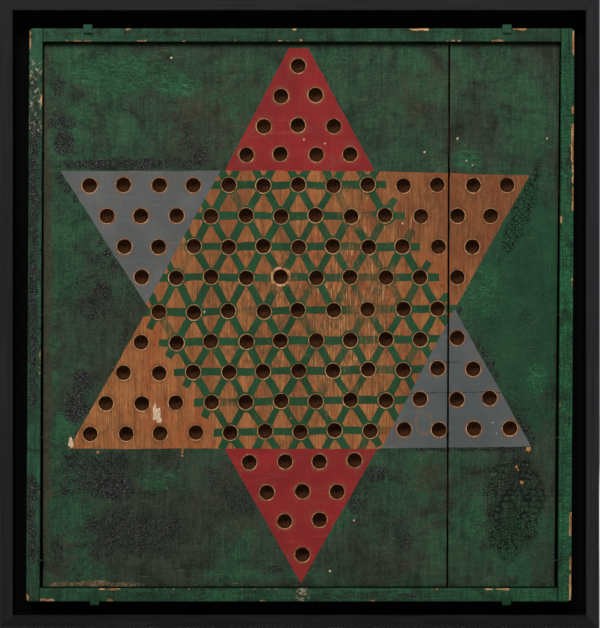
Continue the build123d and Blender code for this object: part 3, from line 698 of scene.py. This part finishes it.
def mesh_object(name, points, faces, materials, face_slots, smooth, marks, fade=None):
    """A mesh from points in millimetres, with marks at its points and the lattice's fading on its faces."""
    mesh = bpy.data.meshes.new(name)
    mesh.from_pydata([tuple(v * MM for v in p) for p in points], [], faces)
    for material in materials:
        mesh.materials.append(material)
    mesh.polygons.foreach_set("material_index", np.asarray(face_slots, np.int32))
    marks = [(key, "POINT", values) for key, values in marks.items()]
    if fade is not None:
        marks.append(("fade", "FACE", fade))
    for key, domain, values in marks:
        attribute = mesh.attributes.new(key, "FLOAT", domain)
        attribute.data.foreach_set("value", np.asarray(values, np.float32))
    mesh.polygons.foreach_set("use_smooth", np.asarray(smooth, bool))
    mesh.update()
    piece = bpy.data.objects.new(name, mesh)
    bpy.context.scene.collection.objects.link(piece)
    return piece


def quads(first, second):
    """Faces between two closed rows of the same number of points."""
    return [(a, b, d, c) for (a, b), (c, d) in zip(sides(first), sides(second))]


def node_points(node):
    return np.array([v.co for v in nodes[node].data.vertices]) / MM


def corners(node):
    """A flat node's corners from the front: lower left, lower right, upper right, upper left."""
    spots = node_points(node)
    back = spots[spots[:, 1] > spots[:, 1].max() - 0.01][:, (0, 2)]
    rise, fall = back.sum(1), back[:, 0] - back[:, 1]
    return [tuple(back[i]) for i in (rise.argmin(), fall.argmax(), rise.argmax(), fall.argmin())]


# ---------------------------------------------------------------- sockets and painted shapes

SOCKET_RADIUS = 6.35
RIM = 0.7
MOUTH = SOCKET_RADIUS + RIM
PITCH = 31.75
DRILL_HALF_ANGLE = 59  # degrees


def sockets(node):
    """Each socket of a plank as (right, above, depth of its point), read from the CAD node."""
    spots = node_points(node)
    face = spots[:, 1].min()
    groups = []
    for p in spots[abs(spots[:, 1] - face - RIM) < 0.01]:
        for group in groups:
            if math.hypot(group[0][0] - p[0], group[0][2] - p[2]) < 2 * SOCKET_RADIUS + 0.8:
                group.append(p)
                break
        else:
            groups.append([p])
    found = []
    for group in map(np.array, groups):
        middle = (group.min(0) + group.max(0)) / 2
        near = np.hypot(spots[:, 0] - middle[0], spots[:, 2] - middle[2]) < 1
        found.append((middle[0], middle[2], spots[near][:, 1].max()))
    return found


plank_sockets = {node: sockets(node) for node in ("wide_plank", "narrow_plank")}
all_sockets = [(x, z) for found in plank_sockets.values() for x, z, _ in found]


def brushed(a, b, seed, roughness=0.35):
    """A hand-painted straight edge from a to b, without its last point."""
    length = math.dist(a, b)
    count = max(2, round(length / 2.6))
    ax, az, bx, bz = *a, *b
    out = ((bz - az) / length, (ax - bx) / length)
    line = []
    for i in range(count):
        t = i / count
        ease = min(1.0, 5 * t, 5 * (1 - t))
        sway = 2.0 * drift(t * length, seed, 9, seed) + 2.2 * drift(t * length, seed, 34, seed)
        off = roughness * ease * sway
        line.append((ax + (bx - ax) * t + out[0] * off, az + (bz - az) * t + out[1] * off))
    return line


STAR = [
    TIP_LEFT, TIP_RIGHT, NOTCH_TOP_RIGHT, UPPER_RIGHT, NOTCH_RIGHT, LOWER_RIGHT, BLUE_FOOT,
    NOTCH_BOTTOM_RIGHT, BOTTOM, NOTCH_BOTTOM_LEFT, LOWER_LEFT, NOTCH_LEFT, BLUE_SIDE, UPPER_LEFT,
    BLUE_TOP, NOTCH_TOP_LEFT,
]
star_sides = {(a, b): brushed(a, b, 3.7 * i) for i, (a, b) in enumerate(sides(STAR))}
star_line = [p for side in star_sides.values() for p in side]


def point_shape(*names_in_order):
    """One painted point of the star: two sides of the star's outline, and a border drawn by hand."""
    shape = []
    for a, b in zip(names_in_order, names_in_order[1:]):
        shape += star_sides[(a, b)]
    border = brushed(names_in_order[-1], names_in_order[0], 71.3 + names_in_order[0][0])
    return shape + border, border + [names_in_order[0]]


red_shapes = [
    point_shape(NOTCH_TOP_LEFT, TIP_LEFT, TIP_RIGHT, NOTCH_TOP_RIGHT),
    point_shape(NOTCH_BOTTOM_RIGHT, BOTTOM, NOTCH_BOTTOM_LEFT),
]
blue_shapes = [
    point_shape(BLUE_SIDE, UPPER_LEFT, BLUE_TOP),
    point_shape(NOTCH_RIGHT, LOWER_RIGHT, BLUE_FOOT),
]
hexagon = [
    NOTCH_TOP_LEFT, NOTCH_TOP_RIGHT, NOTCH_RIGHT, NOTCH_BOTTOM_RIGHT, NOTCH_BOTTOM_LEFT, NOTCH_LEFT,
]


def circle(x, z, radius, rough, seed, count=40):
    ring = []
    for i in range(count):
        angle = 2 * math.pi * i / count
        cx, cz = math.cos(angle), math.sin(angle)
        reach = radius + rough * 2 * noise.noise(Vector((1.6 * cx + seed, 1.6 * cz, seed)))
        ring.append((x + reach * cx, z + reach * cz))
    return ring


def painted_line(a, b, start, end, width, chance):
    """One line of the lattice, from start to end millimetres along the way from socket a to socket b."""
    length = math.dist(a, b)
    along = ((b[0] - a[0]) / length, (b[1] - a[1]) / length)
    out = (-along[1], along[0])
    count = max(4, round((end - start) / 2.4))
    bow, slant = chance.uniform(-0.5, 0.5), chance.uniform(-0.55, 0.55)
    taper = chance.uniform(-0.06, 0.06)
    blunt = [chance.uniform(-0.8, 0.8) for _ in range(2)]
    borders = []
    for side in (1, -1):
        row = []
        seed = chance.uniform(0, 90)
        for i in range(count + 1):
            t = i / count
            reach = start + (end - start) * t
            half = width / 2 * (1 + taper * (2 * t - 1)) + 0.55 * drift(reach, seed, 5, seed)
            if i in (0, count):
                half *= 0.93
                reach += blunt[i > 0] * side * 0.5
            off = side * half + bow * math.sin(math.pi * t) + slant * (t - 0.5)
            row.append((a[0] + along[0] * reach + out[0] * off, a[1] + along[1] * reach + out[1] * off))
        borders.append(row)
    return borders[0] + borders[1][::-1]


def lattice():
    """Every painted line as (outline, how faded it is)."""
    chance = random.Random(11)
    spots = np.array(all_sockets)
    middle = [tuple(p) for p in spots[inside(spots, hexagon)]]
    lines = []
    for i, a in enumerate(middle):
        reach = MOUTH + chance.uniform(0.9, 2.3)
        lines.append((circle(*a, reach, 0.5, i), chance.uniform(0.0, 0.1)))
        for turn in range(6):
            angle = math.radians(60 * turn)
            ideal = np.array(a) + PITCH * np.array([math.cos(angle), math.sin(angle)])
            gaps = np.hypot(*(spots - ideal).T)
            b = tuple(spots[gaps.argmin()]) if gaps.min() < 12 else tuple(ideal)
            level = turn in (0, 3)
            width = chance.uniform(6.6, 7.8) if level else chance.uniform(6.2, 7.6)
            fade = chance.uniform(0.0, 0.16) + (chance.uniform(0.15, 0.4) if chance.random() < 0.1 else 0)
            start = SOCKET_RADIUS + 0.75
            if b in middle:
                if middle.index(b) < i:
                    continue
                end = math.dist(a, b) - start
            else:
                target = np.array([[a[0] + 0.75 * (b[0] - a[0]), a[1] + 0.75 * (b[1] - a[1])]])
                colour = any(inside(target, shape).any() for shape, _ in red_shapes + blue_shapes)
                end = 22.0 if colour else chance.uniform(15.0, 18.4)
            lines.append((painted_line(a, b, start, end, width, chance), fade))
    return lines


lattice_lines = lattice()

# ---------------------------------------------------------------- planks

GROUND, LINES, RED, BLUE, WOOD, INSIDE, RIM_WOOD, EDGE = range(8)
panel_materials = [
    ground_paint(),
    lattice_paint(),
    worn_paint("red_paint", rgb(132, 38, 38), rgb(112, 32, 34), rgb(146, 56, 53), rgb(112, 32, 34)),
    worn_paint("grey_blue_paint", rgb(90, 92, 91), rgb(76, 80, 80), rgb(102, 103, 99), rgb(66, 76, 79),
               [(-44.7, 118, 150), (-72.8, 96, 200)], (113.4, -100.6, 7.3)),
    bare_panel(),
    socket_wood(),
    socket_rim(),
    sawn_edge(),
]
WIDE_RIM_PLACE, WIDE_RIM = (-15.7, 32.4), 1.6  # one socket's rim is worn wider than the rest


def plank(node, seed):
    """A plank with its sockets, its painted shapes cut into the mesh, and marks of wear and a painted shadow
    under the top strip on its face.
    """
    chance = random.Random(seed)
    low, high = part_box(node)
    front, back = low.y / MM, high.y / MM
    around = corners(node)
    found = plank_sockets[node]

    outline = []
    for (ax, az), (bx, bz) in sides(around):
        length = math.dist((ax, az), (bx, bz))
        count = round(length / 2.5)
        inward = (-(bz - az) / length, (bx - ax) / length)
        for i in range(count):
            t = i / count
            x, z = ax + (bx - ax) * t, az + (bz - az) * t
            inset = 0.3 + 0.2 * abs(drift(x, z, 6, seed)) + max(0, 2.4 * drift(x, z, 17, seed + 5) - 0.6)
            room = min(math.dist((x, z), hole[:2]) for hole in found) - MOUTH
            inset = min(inset, max(0.12, 0.4 * room))
            end = inset / length
            if i == 0:
                inset = 0.35
                x, z = x + (bx - ax) * end, z + (bz - az) * end
            outline.append((x + inward[0] * inset, z + inward[1] * inset))

    def edge_gap(x, z):
        """How far places are inside the nearest edge of the plank."""
        gaps = []
        for (ax, az), (bx, bz) in sides(around):
            gaps.append(((bx - ax) * (z - az) - (bz - az) * (x - ax)) / math.dist((ax, az), (bx, bz)))
        return np.min(gaps, 0)

    loops = [outline]
    rim_lines = []
    for x, z, _ in found:
        loops.append(circle(x, z, MOUTH, 0.05 if edge_gap(x, z) < 9 else 0.16, x + z))
        extra = WIDE_RIM if math.dist(WIDE_RIM_PLACE, (x, z)) < 8 else 0.0
        # The pale worn ring is centred 0.1 mm below the socket, so it is wider on its lower side: worn wood,
        # with a painted highlight where light from above falls on the lower rim.
        rim_lines.append(circle(x, z - 0.1, MOUTH + 0.3 + extra, 0.16 + extra / 4, x - z))
    for (x, z, _), rim in zip(found, rim_lines):
        for i, (px, pz) in enumerate(rim):
            if edge_gap(px, pz) < 0.32:
                pull = (MOUTH + 0.1) / math.dist((px, pz), (x, z))
                rim[i] = (x + (px - x) * pull, z + (pz - z) * pull)
    loops += rim_lines

    lines = [star_line + star_line[:1]]
    lines += [border for _, border in red_shapes + blue_shapes]
    lines += [shape + shape[:1] for shape, _ in lattice_lines]

    points, edges = [], []
    for loop in loops:
        start = len(points)
        points += loop
        edges += [(start + i, start + (i + 1) % len(loop)) for i in range(len(loop))]
    centres = np.array([(x, z) for x, z, _ in found])
    reach = np.array([max(math.dist((x, z), p) for p in rim) for (x, z, _), rim in zip(found, rim_lines)])

    def clear(spots, gap, border):
        """Which spots are on the plank, away from its edges and from the sockets' rims."""
        spots = np.asarray(spots, float)
        apart = np.sqrt(((spots[:, None, :] - centres[None]) ** 2).sum(2)) - (reach + gap)[None]
        return (apart.min(1) > 0) & (edge_gap(*spots.T) > border)

    for line in lines:
        keep = clear(line, 0.05, 1.7)
        start = len(points)
        points += line
        edges += [(start + i, start + i + 1) for i in range(len(line) - 1) if keep[i] and keep[i + 1]]
    kept = sorted({v for edge in edges for v in edge})
    number = {v: i for i, v in enumerate(kept)}
    points = [points[v] for v in kept]
    edges = [(number[a], number[b]) for a, b in edges]

    step, rise = 3.0, 3.0 * 0.866
    grid = []
    for row in range(int((high.z - low.z) / MM / rise) + 1):
        z = low.z / MM + row * rise
        for column in range(int((high.x - low.x) / MM / step) + 1):
            x = low.x / MM + (column + 0.5 * (row % 2)) * step
            grid.append((x + chance.uniform(-0.35, 0.35), z + chance.uniform(-0.35, 0.35)))
    grid = np.array(grid)
    grid = grid[clear(grid, 0.7, 2.4)]
    cells = {}
    for x, z in points:
        cells.setdefault((int(x // 1.2), int(z // 1.2)), []).append((x, z))
    for x, z in grid:
        i, k = int(x // 1.2), int(z // 1.2)
        close = [p for a in (-1, 0, 1) for b in (-1, 0, 1) for p in cells.get((i + a, k + b), ())]
        if all(math.dist(p, (x, z)) > 0.9 for p in close):
            points.append((x, z))

    flat, _, triangles, *_ = delaunay_2d_cdt([Vector(p) for p in points], edges, [], 0, 1e-4)
    flat = np.array([(v.x, v.y) for v in flat])
    triangles = np.array([t for t in triangles if len(t) == 3])
    centroid = flat[triangles].mean(1)

    drop = ~inside(centroid, outline)
    rim_part = np.zeros(len(triangles), bool)
    for (x, z, _), hole, rim in zip(found, loops[1:], rim_lines):
        near = np.nonzero(np.hypot(centroid[:, 0] - x, centroid[:, 1] - z) < 14)[0]
        drop[near] |= inside(centroid[near], hole)
        rim_part[near] |= inside(centroid[near], rim)

    slots = np.full(len(triangles), GROUND)
    slots[inside(centroid, star_line)] = WOOD
    fade = np.zeros(len(triangles))
    for shape, faded in lattice_lines:
        box = np.array(shape)
        near = ((centroid > box.min(0)) & (centroid < box.max(0))).all(1) & (slots == WOOD)
        near = np.nonzero(near)[0]
        hit = near[inside(centroid[near], shape)]
        slots[hit] = LINES
        fade[hit] = faded
    for number_, shapes in ((RED, red_shapes), (BLUE, blue_shapes)):
        for shape, _ in shapes:
            slots[inside(centroid, shape)] = number_
    slots[rim_part] = RIM_WOOD
    triangles, slots, fade = triangles[~drop], slots[~drop], fade[~drop]
    fade += field(flat[triangles].mean(1), RUBBED, 0.0) * 0.42

    turned = []
    for a, b, c in triangles:
        (ax, az), (bx, bz), (cx, cz) = flat[a], flat[b], flat[c]
        turned.append((a, b, c) if (bx - ax) * (cz - az) - (bz - az) * (cx - ax) > 0 else (a, c, b))

    # The free edges of the face are the plank's outline and the mouths of the sockets
    following = dict.fromkeys(side for t in turned for side in sides(t))
    after = {a: b for a, b in following if (b, a) not in following}
    rings = []
    while after:
        first = next(iter(after))
        ring = [first]
        while after.get(ring[-1], first) != first:
            ring.append(after.pop(ring[-1]))
        after.pop(ring[-1], None)
        rings.append([int(v) for v in ring])

    surface = [(x, front, z) for x, z in flat]
    faces = [tuple(int(v) for v in t) for t in turned]
    face_slots = list(slots)
    fade = list(fade)
    smooth = [True] * len(faces)

    def row(ring, place):
        start = len(surface)
        surface.extend(place(*flat[v]) for v in ring)
        return list(range(start, start + len(ring)))

    def join(new_faces, slot, is_smooth=True):
        faces.extend(new_faces)
        face_slots.extend([slot] * len(new_faces))
        fade.extend([0.0] * len(new_faces))
        smooth.extend([is_smooth] * len(new_faces))

    middle = np.mean(around, 0)
    wide_scale = 1 + 0.6 / (around[1][0] - around[0][0])
    tall_scale = 1 + 0.6 / (around[3][1] - around[0][1])
    longest = max(rings, key=len)
    for ring in rings:
        if ring is longest:

            def grown(share, depth):
                return lambda x, z: (
                    middle[0] + (x - middle[0]) * (1 + (wide_scale - 1) * share),
                    depth,
                    middle[1] + (z - middle[1]) * (1 + (tall_scale - 1) * share),
                )

            levels = ((0.7, front + 0.15), (1.0, front + 0.6), (1.0, front + 4), (1.0, back))
            ends = [ring] + [row(ring, grown(*level)) for level in levels]
            for outer, inner in zip(ends, ends[1:]):
                join(quads(inner, outer), EDGE)
            join([tuple(ends[-1])], EDGE, False)
            continue
        centre = flat[ring].mean(0)
        hx, hz, apex = min(found, key=lambda s: math.dist(s[:2], centre))
        shoulder = apex - SOCKET_RADIUS / math.tan(math.radians(DRILL_HALF_ANGLE))

        def drilled(radius, depth, rough=0.0):
            def place(x, z):
                angle = math.atan2(z - hz, x - hx)
                cx, cz = math.cos(angle), math.sin(angle)
                wave = rough * 2 * noise.noise(Vector((2 * cx + hx, 2 * cz + hz, depth)))
                return (hx + (radius + wave) * cx, depth + wave, hz + (radius + wave) * cz)
            return place

        fall = apex - shoulder
        levels = (
            (SOCKET_RADIUS + 0.36, front + 0.32), (SOCKET_RADIUS + 0.04, front + 0.72),
            (SOCKET_RADIUS, front + 1.3), (SOCKET_RADIUS, (front + shoulder) / 2, 0.04),
            (SOCKET_RADIUS, shoulder, 0.03), (SOCKET_RADIUS * 0.6, shoulder + 0.4 * fall, 0.08),
            (SOCKET_RADIUS * 0.2, shoulder + 0.8 * fall, 0.05),
        )
        ends = [ring] + [row(ring, drilled(*level)) for level in levels]
        for outer, inner in zip(ends, ends[1:]):
            join(quads(inner, outer), RIM_WOOD if outer is ring else INSIDE)
        surface.append((hx, apex, hz))
        tip = len(surface) - 1
        join([(ends[-1][i - 1], tip, ends[-1][i]) for i in range(len(ring))], INSIDE)

    spots = np.array(surface)[:, (0, 2)]
    waver = np.array([0.5 * drift(x, z, 22, 3) + 0.3 * drift(x, z, 8, 9) for x, z in spots])
    rim_gap = np.sqrt(((spots[:, None, :] - centres[None]) ** 2).sum(2)).min(1) - MOUTH - 0.3
    marks = {name: field(spots, patches, waver * share) for name, (patches, share) in MARKS.items()}
    marks["halo"] = np.clip(1 - rim_gap / 3.2, 0, 1)
    # A painted shadow under the top edge strip: nothing 7 mm below the plank's top edge, full strength 1 mm
    # below it.
    marks["gloom"] = np.clip((spots[:, 1] - around[3][1] + 7) / 6, 0, 1) ** 1.5 * 0.8
    piece = mesh_object(node + "_worn", surface, faces, panel_materials, face_slots, smooth, marks, fade)
    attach(piece, BOARD)
    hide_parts(node)


plank("wide_plank", 5)
plank("narrow_plank", 8)

# ---------------------------------------------------------------- edge strips

strip_greens = {
    "left_edge_strip": (rgb(36, 56, 43), rgb(40, 74, 54)),
    "right_edge_strip": (rgb(33, 68, 47), rgb(36, 86, 57)),
    "top_edge_strip": (rgb(34, 56, 42), rgb(37, 70, 50)),
    "bottom_edge_strip": (rgb(34, 62, 44), rgb(39, 80, 55)),
}


def strip(node, outer_knocks, inner_knocks, black, flaking, cracked, seed):
    """An edge strip whose front corners are rounded by wear, and knocked away in places."""
    low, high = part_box(node)
    front, depth = low.y / MM, (high.y - low.y) / MM
    upright = node.startswith(("left", "right"))
    lower_left, lower_right, upper_right, upper_left = map(np.array, corners(node))
    if upright:
        at_left = node.startswith("left")
        inner = (lower_right, upper_right) if at_left else (lower_left, upper_left)
        width = (high.x - low.x) / MM - abs(inner[1][0] - inner[0][0])
        away = np.array([-width if at_left else width, 0.0])
        outer = (inner[0] + away, inner[1] + away)
        along = 1
    else:
        top = node.startswith("top")
        outer = (upper_left, upper_right) if top else (lower_left, lower_right)
        inner = (lower_left, lower_right) if top else (upper_left, upper_right)
        width = (high.z - low.z) / MM
        along = 0
    start, end = outer[0][along], outer[1][along]
    count = round((end - start) / 1.4)

    def knock(place, knocks):
        """How deep the corner is knocked at a place along the strip."""
        deepest = 0.0
        for first, last, deep in knocks:
            share = min(place - first, last - place) / 2.2
            if share > 0:
                rough = 0.75 + 1.1 * drift(place, deep, 3.2, seed + first)
                deepest = max(deepest, deep * min(1.0, share) * max(0.25, rough))
        return deepest

    surface, marks = [], {"bare": [], "black": [], "flaking": [], "cracked": []}
    rows = []
    corner = 2.6 if upright else 0.5
    for i in range(count + 1):
        t = i / count
        place = start + (end - start) * t
        a, b = outer[0] + (outer[1] - outer[0]) * t, inner[0] + (inner[1] - inner[0]) * t
        from_end = min(place - start, end - place)
        trim = 0.0
        if upright and from_end < corner:
            trim = corner - math.sqrt(max(0.0, corner ** 2 - (corner - from_end) ** 2))
        out_knock, in_knock = 0.55 * knock(place, outer_knocks), 0.3 * knock(place, inner_knocks)
        out_round = 0.8 + 0.35 * abs(drift(place, 1, 7, seed)) + out_knock
        in_round = 0.7 + 0.3 * abs(drift(place, 2, 6, seed + 4)) + in_knock
        end_dip = 0.5 * max(0.0, 1 - from_end / 0.9) ** 2
        wave = [0.12 + 0.1 * drift(place, k, 5, seed + k) for k in range(4)]
        profile = [
            (trim, depth, 0), (trim, 9, 0), (trim, out_round + 1.2, 0), (trim + 0.02, out_round, out_knock),
            (trim + 0.28 * out_round, 0.34 * out_round, out_knock), (trim + out_round, 0.1, out_knock),
            (max(trim + out_round + 0.4, 3.0), wave[0], 0), (width * 0.42, wave[1], 0),
            (width * 0.6, wave[2], 0), (min(width - in_round - 0.4, width - 3.0), wave[3], 0),
            (width - in_round, 0.1, in_knock), (width - 0.28 * in_round, 0.34 * in_round, in_knock),
            (width - 0.02, in_round, in_knock), (width, in_round + 1.2, 0), (width, 9, 0), (width, depth, 0),
        ]
        rows.append(list(range(len(surface), len(surface) + len(profile))))
        for n, (across, down, knocked) in enumerate(profile):
            share = across / width
            x, z = a + (b - a) * share
            surface.append((x, front + min(depth, down + (end_dip if down < 6 else 0)), z))
            rubbed = 0.3 if n in (4, 11) else 0.0
            marks["bare"].append(min(0.9, 0.35 + knocked) if knocked > 0.15 else rubbed)
            for key, spans in (("black", black), ("flaking", flaking), ("cracked", cracked)):
                level = max((s * min(1.0, max(0.0, min(place - lo, hi - place) / 14)) for lo, hi, s in spans),
                            default=0.0)
                if key == "black":
                    level *= 0.35 + 0.65 * math.sin(math.pi * min(1.0, 1.25 * share))
                marks[key].append(level)

    faces, smooth = [], []
    for before, after in zip(rows, rows[1:]):
        made = quads(before, after)
        faces += made
        smooth += [True] * (len(made) - 1) + [False]
    faces += [tuple(rows[0][::-1]), tuple(rows[-1])]
    smooth += [False, False]
    centre = np.mean(surface, 0)
    a, b, c = (np.array(surface[v]) for v in faces[0][:3])
    if np.dot(np.cross(b - a, c - a), a - centre) < 0:
        faces = [face[::-1] for face in faces]
    paint = strip_paint(node + "_paint", *strip_greens[node], 2 if upright else 0)
    piece = mesh_object(node + "_worn", surface, faces, [paint], [0] * len(faces), smooth, marks)
    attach(piece, BOARD)
    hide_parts(node)


strip("left_edge_strip", LEFT_OUTER, LEFT_INNER, [(-95, 185, 0.85), (-237, -140, 0.85), (175, 240, 0.5)],
      [(148, 243, 0.75)], [(-120, 120, 0.3)], 2)
strip("right_edge_strip", RIGHT_OUTER, RIGHT_INNER, [(100, 160, 0.4), (-120, -60, 0.35)], [(90, 130, 0.35)],
      [(-262, 258, 0.8)], 6)
strip("top_edge_strip", TOP_OUTER, TOP_INNER, [(-250, -60, 0.4), (60, 130, 0.35)], [],
      [(-250, 250, 0.25)], 13)
strip("bottom_edge_strip", BOTTOM_OUTER, BOTTOM_INNER, [(-200, -60, 0.35), (0, 130, 0.5)], [(-13, 18, 1.0)],
      [(-240, 240, 0.5)], 21)

# ---------------------------------------------------------------- paint specks and smears


def blob(x, z, radius, tall, height, seed, surface, faces):
    """A low irregular drop of paint on the board's face."""
    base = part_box("wide_plank")[0].y / MM
    count = 14
    rows = []
    for share, rise in ((1.0, -0.02), (0.82, 0.55), (0.45, 0.9)):
        row = []
        for i in range(count):
            angle = 2 * math.pi * i / count
            cx, cz = math.cos(angle), math.sin(angle)
            reach = share * (1 + 0.75 * noise.noise(Vector((1.7 * cx + seed, 1.7 * cz, seed))))
            row.append(len(surface))
            surface.append((x + radius * reach * cx, base - height * rise, z + tall * reach * cz))
        rows.append(row)
    surface.append((x, base - height, z))
    for outer, inner in zip(rows, rows[1:]):
        faces.extend(quads(outer, inner))
    faces.extend((rows[-1][i - 1], rows[-1][i], len(surface) - 1) for i in range(count))


def specks(name, spots, material):
    surface, faces = [], []
    for number, (x, z, radius, *tall) in enumerate(spots):
        if min(math.dist((x, z), hole) for hole in all_sockets) < MOUTH + radius:
            continue
        blob(x, z, radius, tall[0] if tall else radius, 0.22, 3.1 * number + 0.7, surface, faces)
    piece = mesh_object(name, surface, faces, [material], [0] * len(faces), [True] * len(faces), {})
    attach(piece, BOARD)


cream = fleck_paint("cream_paint_speck", rgb(206, 184, 156), rgb(160, 132, 104))
tan = fleck_paint("tan_primer_speck", rgb(176, 122, 60), rgb(118, 72, 34))
specks("cream_specks", CREAM_SPECKS, cream)
specks("cream_smear", CREAM_SMEAR, cream)
specks("tan_specks", TAN_SPECKS, tan)

# ---------------------------------------------------------------- materials of the CAD nodes


def dress(material, *names):
    for name in names:
        piece = nodes[name]
        if not piece.material_slots:
            piece.data.materials.append(material)
        for place in piece.material_slots:
            place.material = material


# Each rail's level is painted light and shade as well as its stain: the bottom rail is painted darkest, as in
# shade, and the right rail lightest.
for side, axis, level in (("top", 0, 29), ("bottom", 0, 20), ("left", 2, 27), ("right", 2, 32)):
    dress(black_frame("black_" + side + "_rail", axis, level), side + "_frame_rail")
dress(backing(), "backing_panel")
pine, pine_shade = rgb(206, 172, 126), rgb(178, 138, 92)
dress(raw_timber("pine_level_bar", pine, pine_shade, 0), "top_strainer_bar", "bottom_strainer_bar")
dress(raw_timber("pine_upright_bar", pine, pine_shade, 2), "left_strainer_bar", "right_strainer_bar")
dress(raw_timber("aged_cleat_wood", rgb(132, 96, 62), rgb(98, 68, 42), 0), "upper_cleat", "lower_cleat")
steel = metal("bright_screw_steel", rgb(196, 192, 184), rgb(140, 136, 130), 0.34)
dress(steel, "strainer_screws", "backing_screws", "hanger_screws")
dress(metal("old_nail_steel", rgb(96, 88, 80), rgb(56, 48, 42), 0.55, rgb(88, 52, 30), 0.8),
      "edge_strip_nails", "cleat_screws", "corner_v_nails")
dress(metal("zinc_hanger_steel", rgb(190, 190, 186), rgb(150, 150, 148), 0.3), "left_hanger_strap",
      "right_hanger_strap", "left_hanger_ring", "right_hanger_ring")
dress(metal("black_screw_steel", rgb(16, 16, 15), rgb(8, 8, 8), 0.6), "clip_screws")
dress(painted_metal("green_top_clip", rgb(32, 60, 45), rgb(42, 74, 58)), "top_left_clip", "top_right_clip")
# The bottom clips' green is painted darker than the top clips' as painted shade.
dress(painted_metal("shaded_green_bottom_clip", rgb(21, 48, 30), rgb(30, 64, 41)), "bottom_left_clip",
      "bottom_right_clip")
dress(rubber("lining_rubber", rgb(50, 48, 46), rgb(30, 29, 28)), "clip_linings")
dress(rubber("bumper_rubber", rgb(70, 68, 66), rgb(44, 42, 41)), "left_wall_bumper", "right_wall_bumper")

# ---------------------------------------------------------------- floor, light and camera

lowest = cad_bounds[0]
FLOOR_REACH = 6.0
floor_mesh = bpy.data.meshes.new("studio_floor")
floor_mesh.from_pydata(
    [(x * FLOOR_REACH, y * FLOOR_REACH, lowest[2]) for x, y in ((-1, -1), (1, -1), (1, 1), (-1, 1))],
    [], [(0, 1, 2, 3)])
floor = bpy.data.objects.new("studio_floor", floor_mesh)
bpy.context.scene.collection.objects.link(floor)
f = Finish("pale_floor", 0.2)
floor_mesh.materials.append(f.done(f.mix(f.noise(3, 3), rgb(214, 213, 210), rgb(220, 219, 217)), 0.8))

world = bpy.data.worlds.new("studio")
bpy.context.scene.world = world
world.use_nodes = True
world.node_tree.nodes["Background"].inputs["Color"].default_value = (0.93, 0.95, 1.0, 1.0)
world.node_tree.nodes["Background"].inputs["Strength"].default_value = 0.22


def softbox(name, place, width, height, watts):
    """A lamp that faces the middle of the frame."""
    light = bpy.data.lights.new(name, "AREA")
    light.shape = "RECTANGLE"
    light.size, light.size_y = width, height
    light.energy = watts
    light.color = (1.0, 0.98, 0.95)
    lamp = bpy.data.objects.new(name, light)
    lamp.location = place
    lamp.rotation_euler = (-Vector(place)).to_track_quat("-Z", "Y").to_euler()
    bpy.context.scene.collection.objects.link(lamp)


softbox("key", (-0.4, -2.6, 2.2), 2.0, 1.1, 118)
softbox("fill", (2.4, -2.2, -0.3), 1.2, 1.2, 14)
softbox("back", (0.8, 2.3, 1.4), 1.4, 1.2, 40)

DISTANCE = 3.0
LONG_SIDE = 0.5696  # metres across the picture
SENSOR = 36.0
camera_data = bpy.data.cameras.new("camera")
camera_data.sensor_width = SENSOR
camera_data.lens = SENSOR * DISTANCE / LONG_SIDE
camera = bpy.data.objects.new("camera", camera_data)
camera.location = (0.59 * MM, lowest[1] - DISTANCE, -1.13 * MM)
camera.rotation_euler = (math.radians(90), 0, 0)
bpy.context.scene.collection.objects.link(camera)
bpy.context.scene.camera = camera
bpy.context.scene.view_settings.view_transform = "Standard"
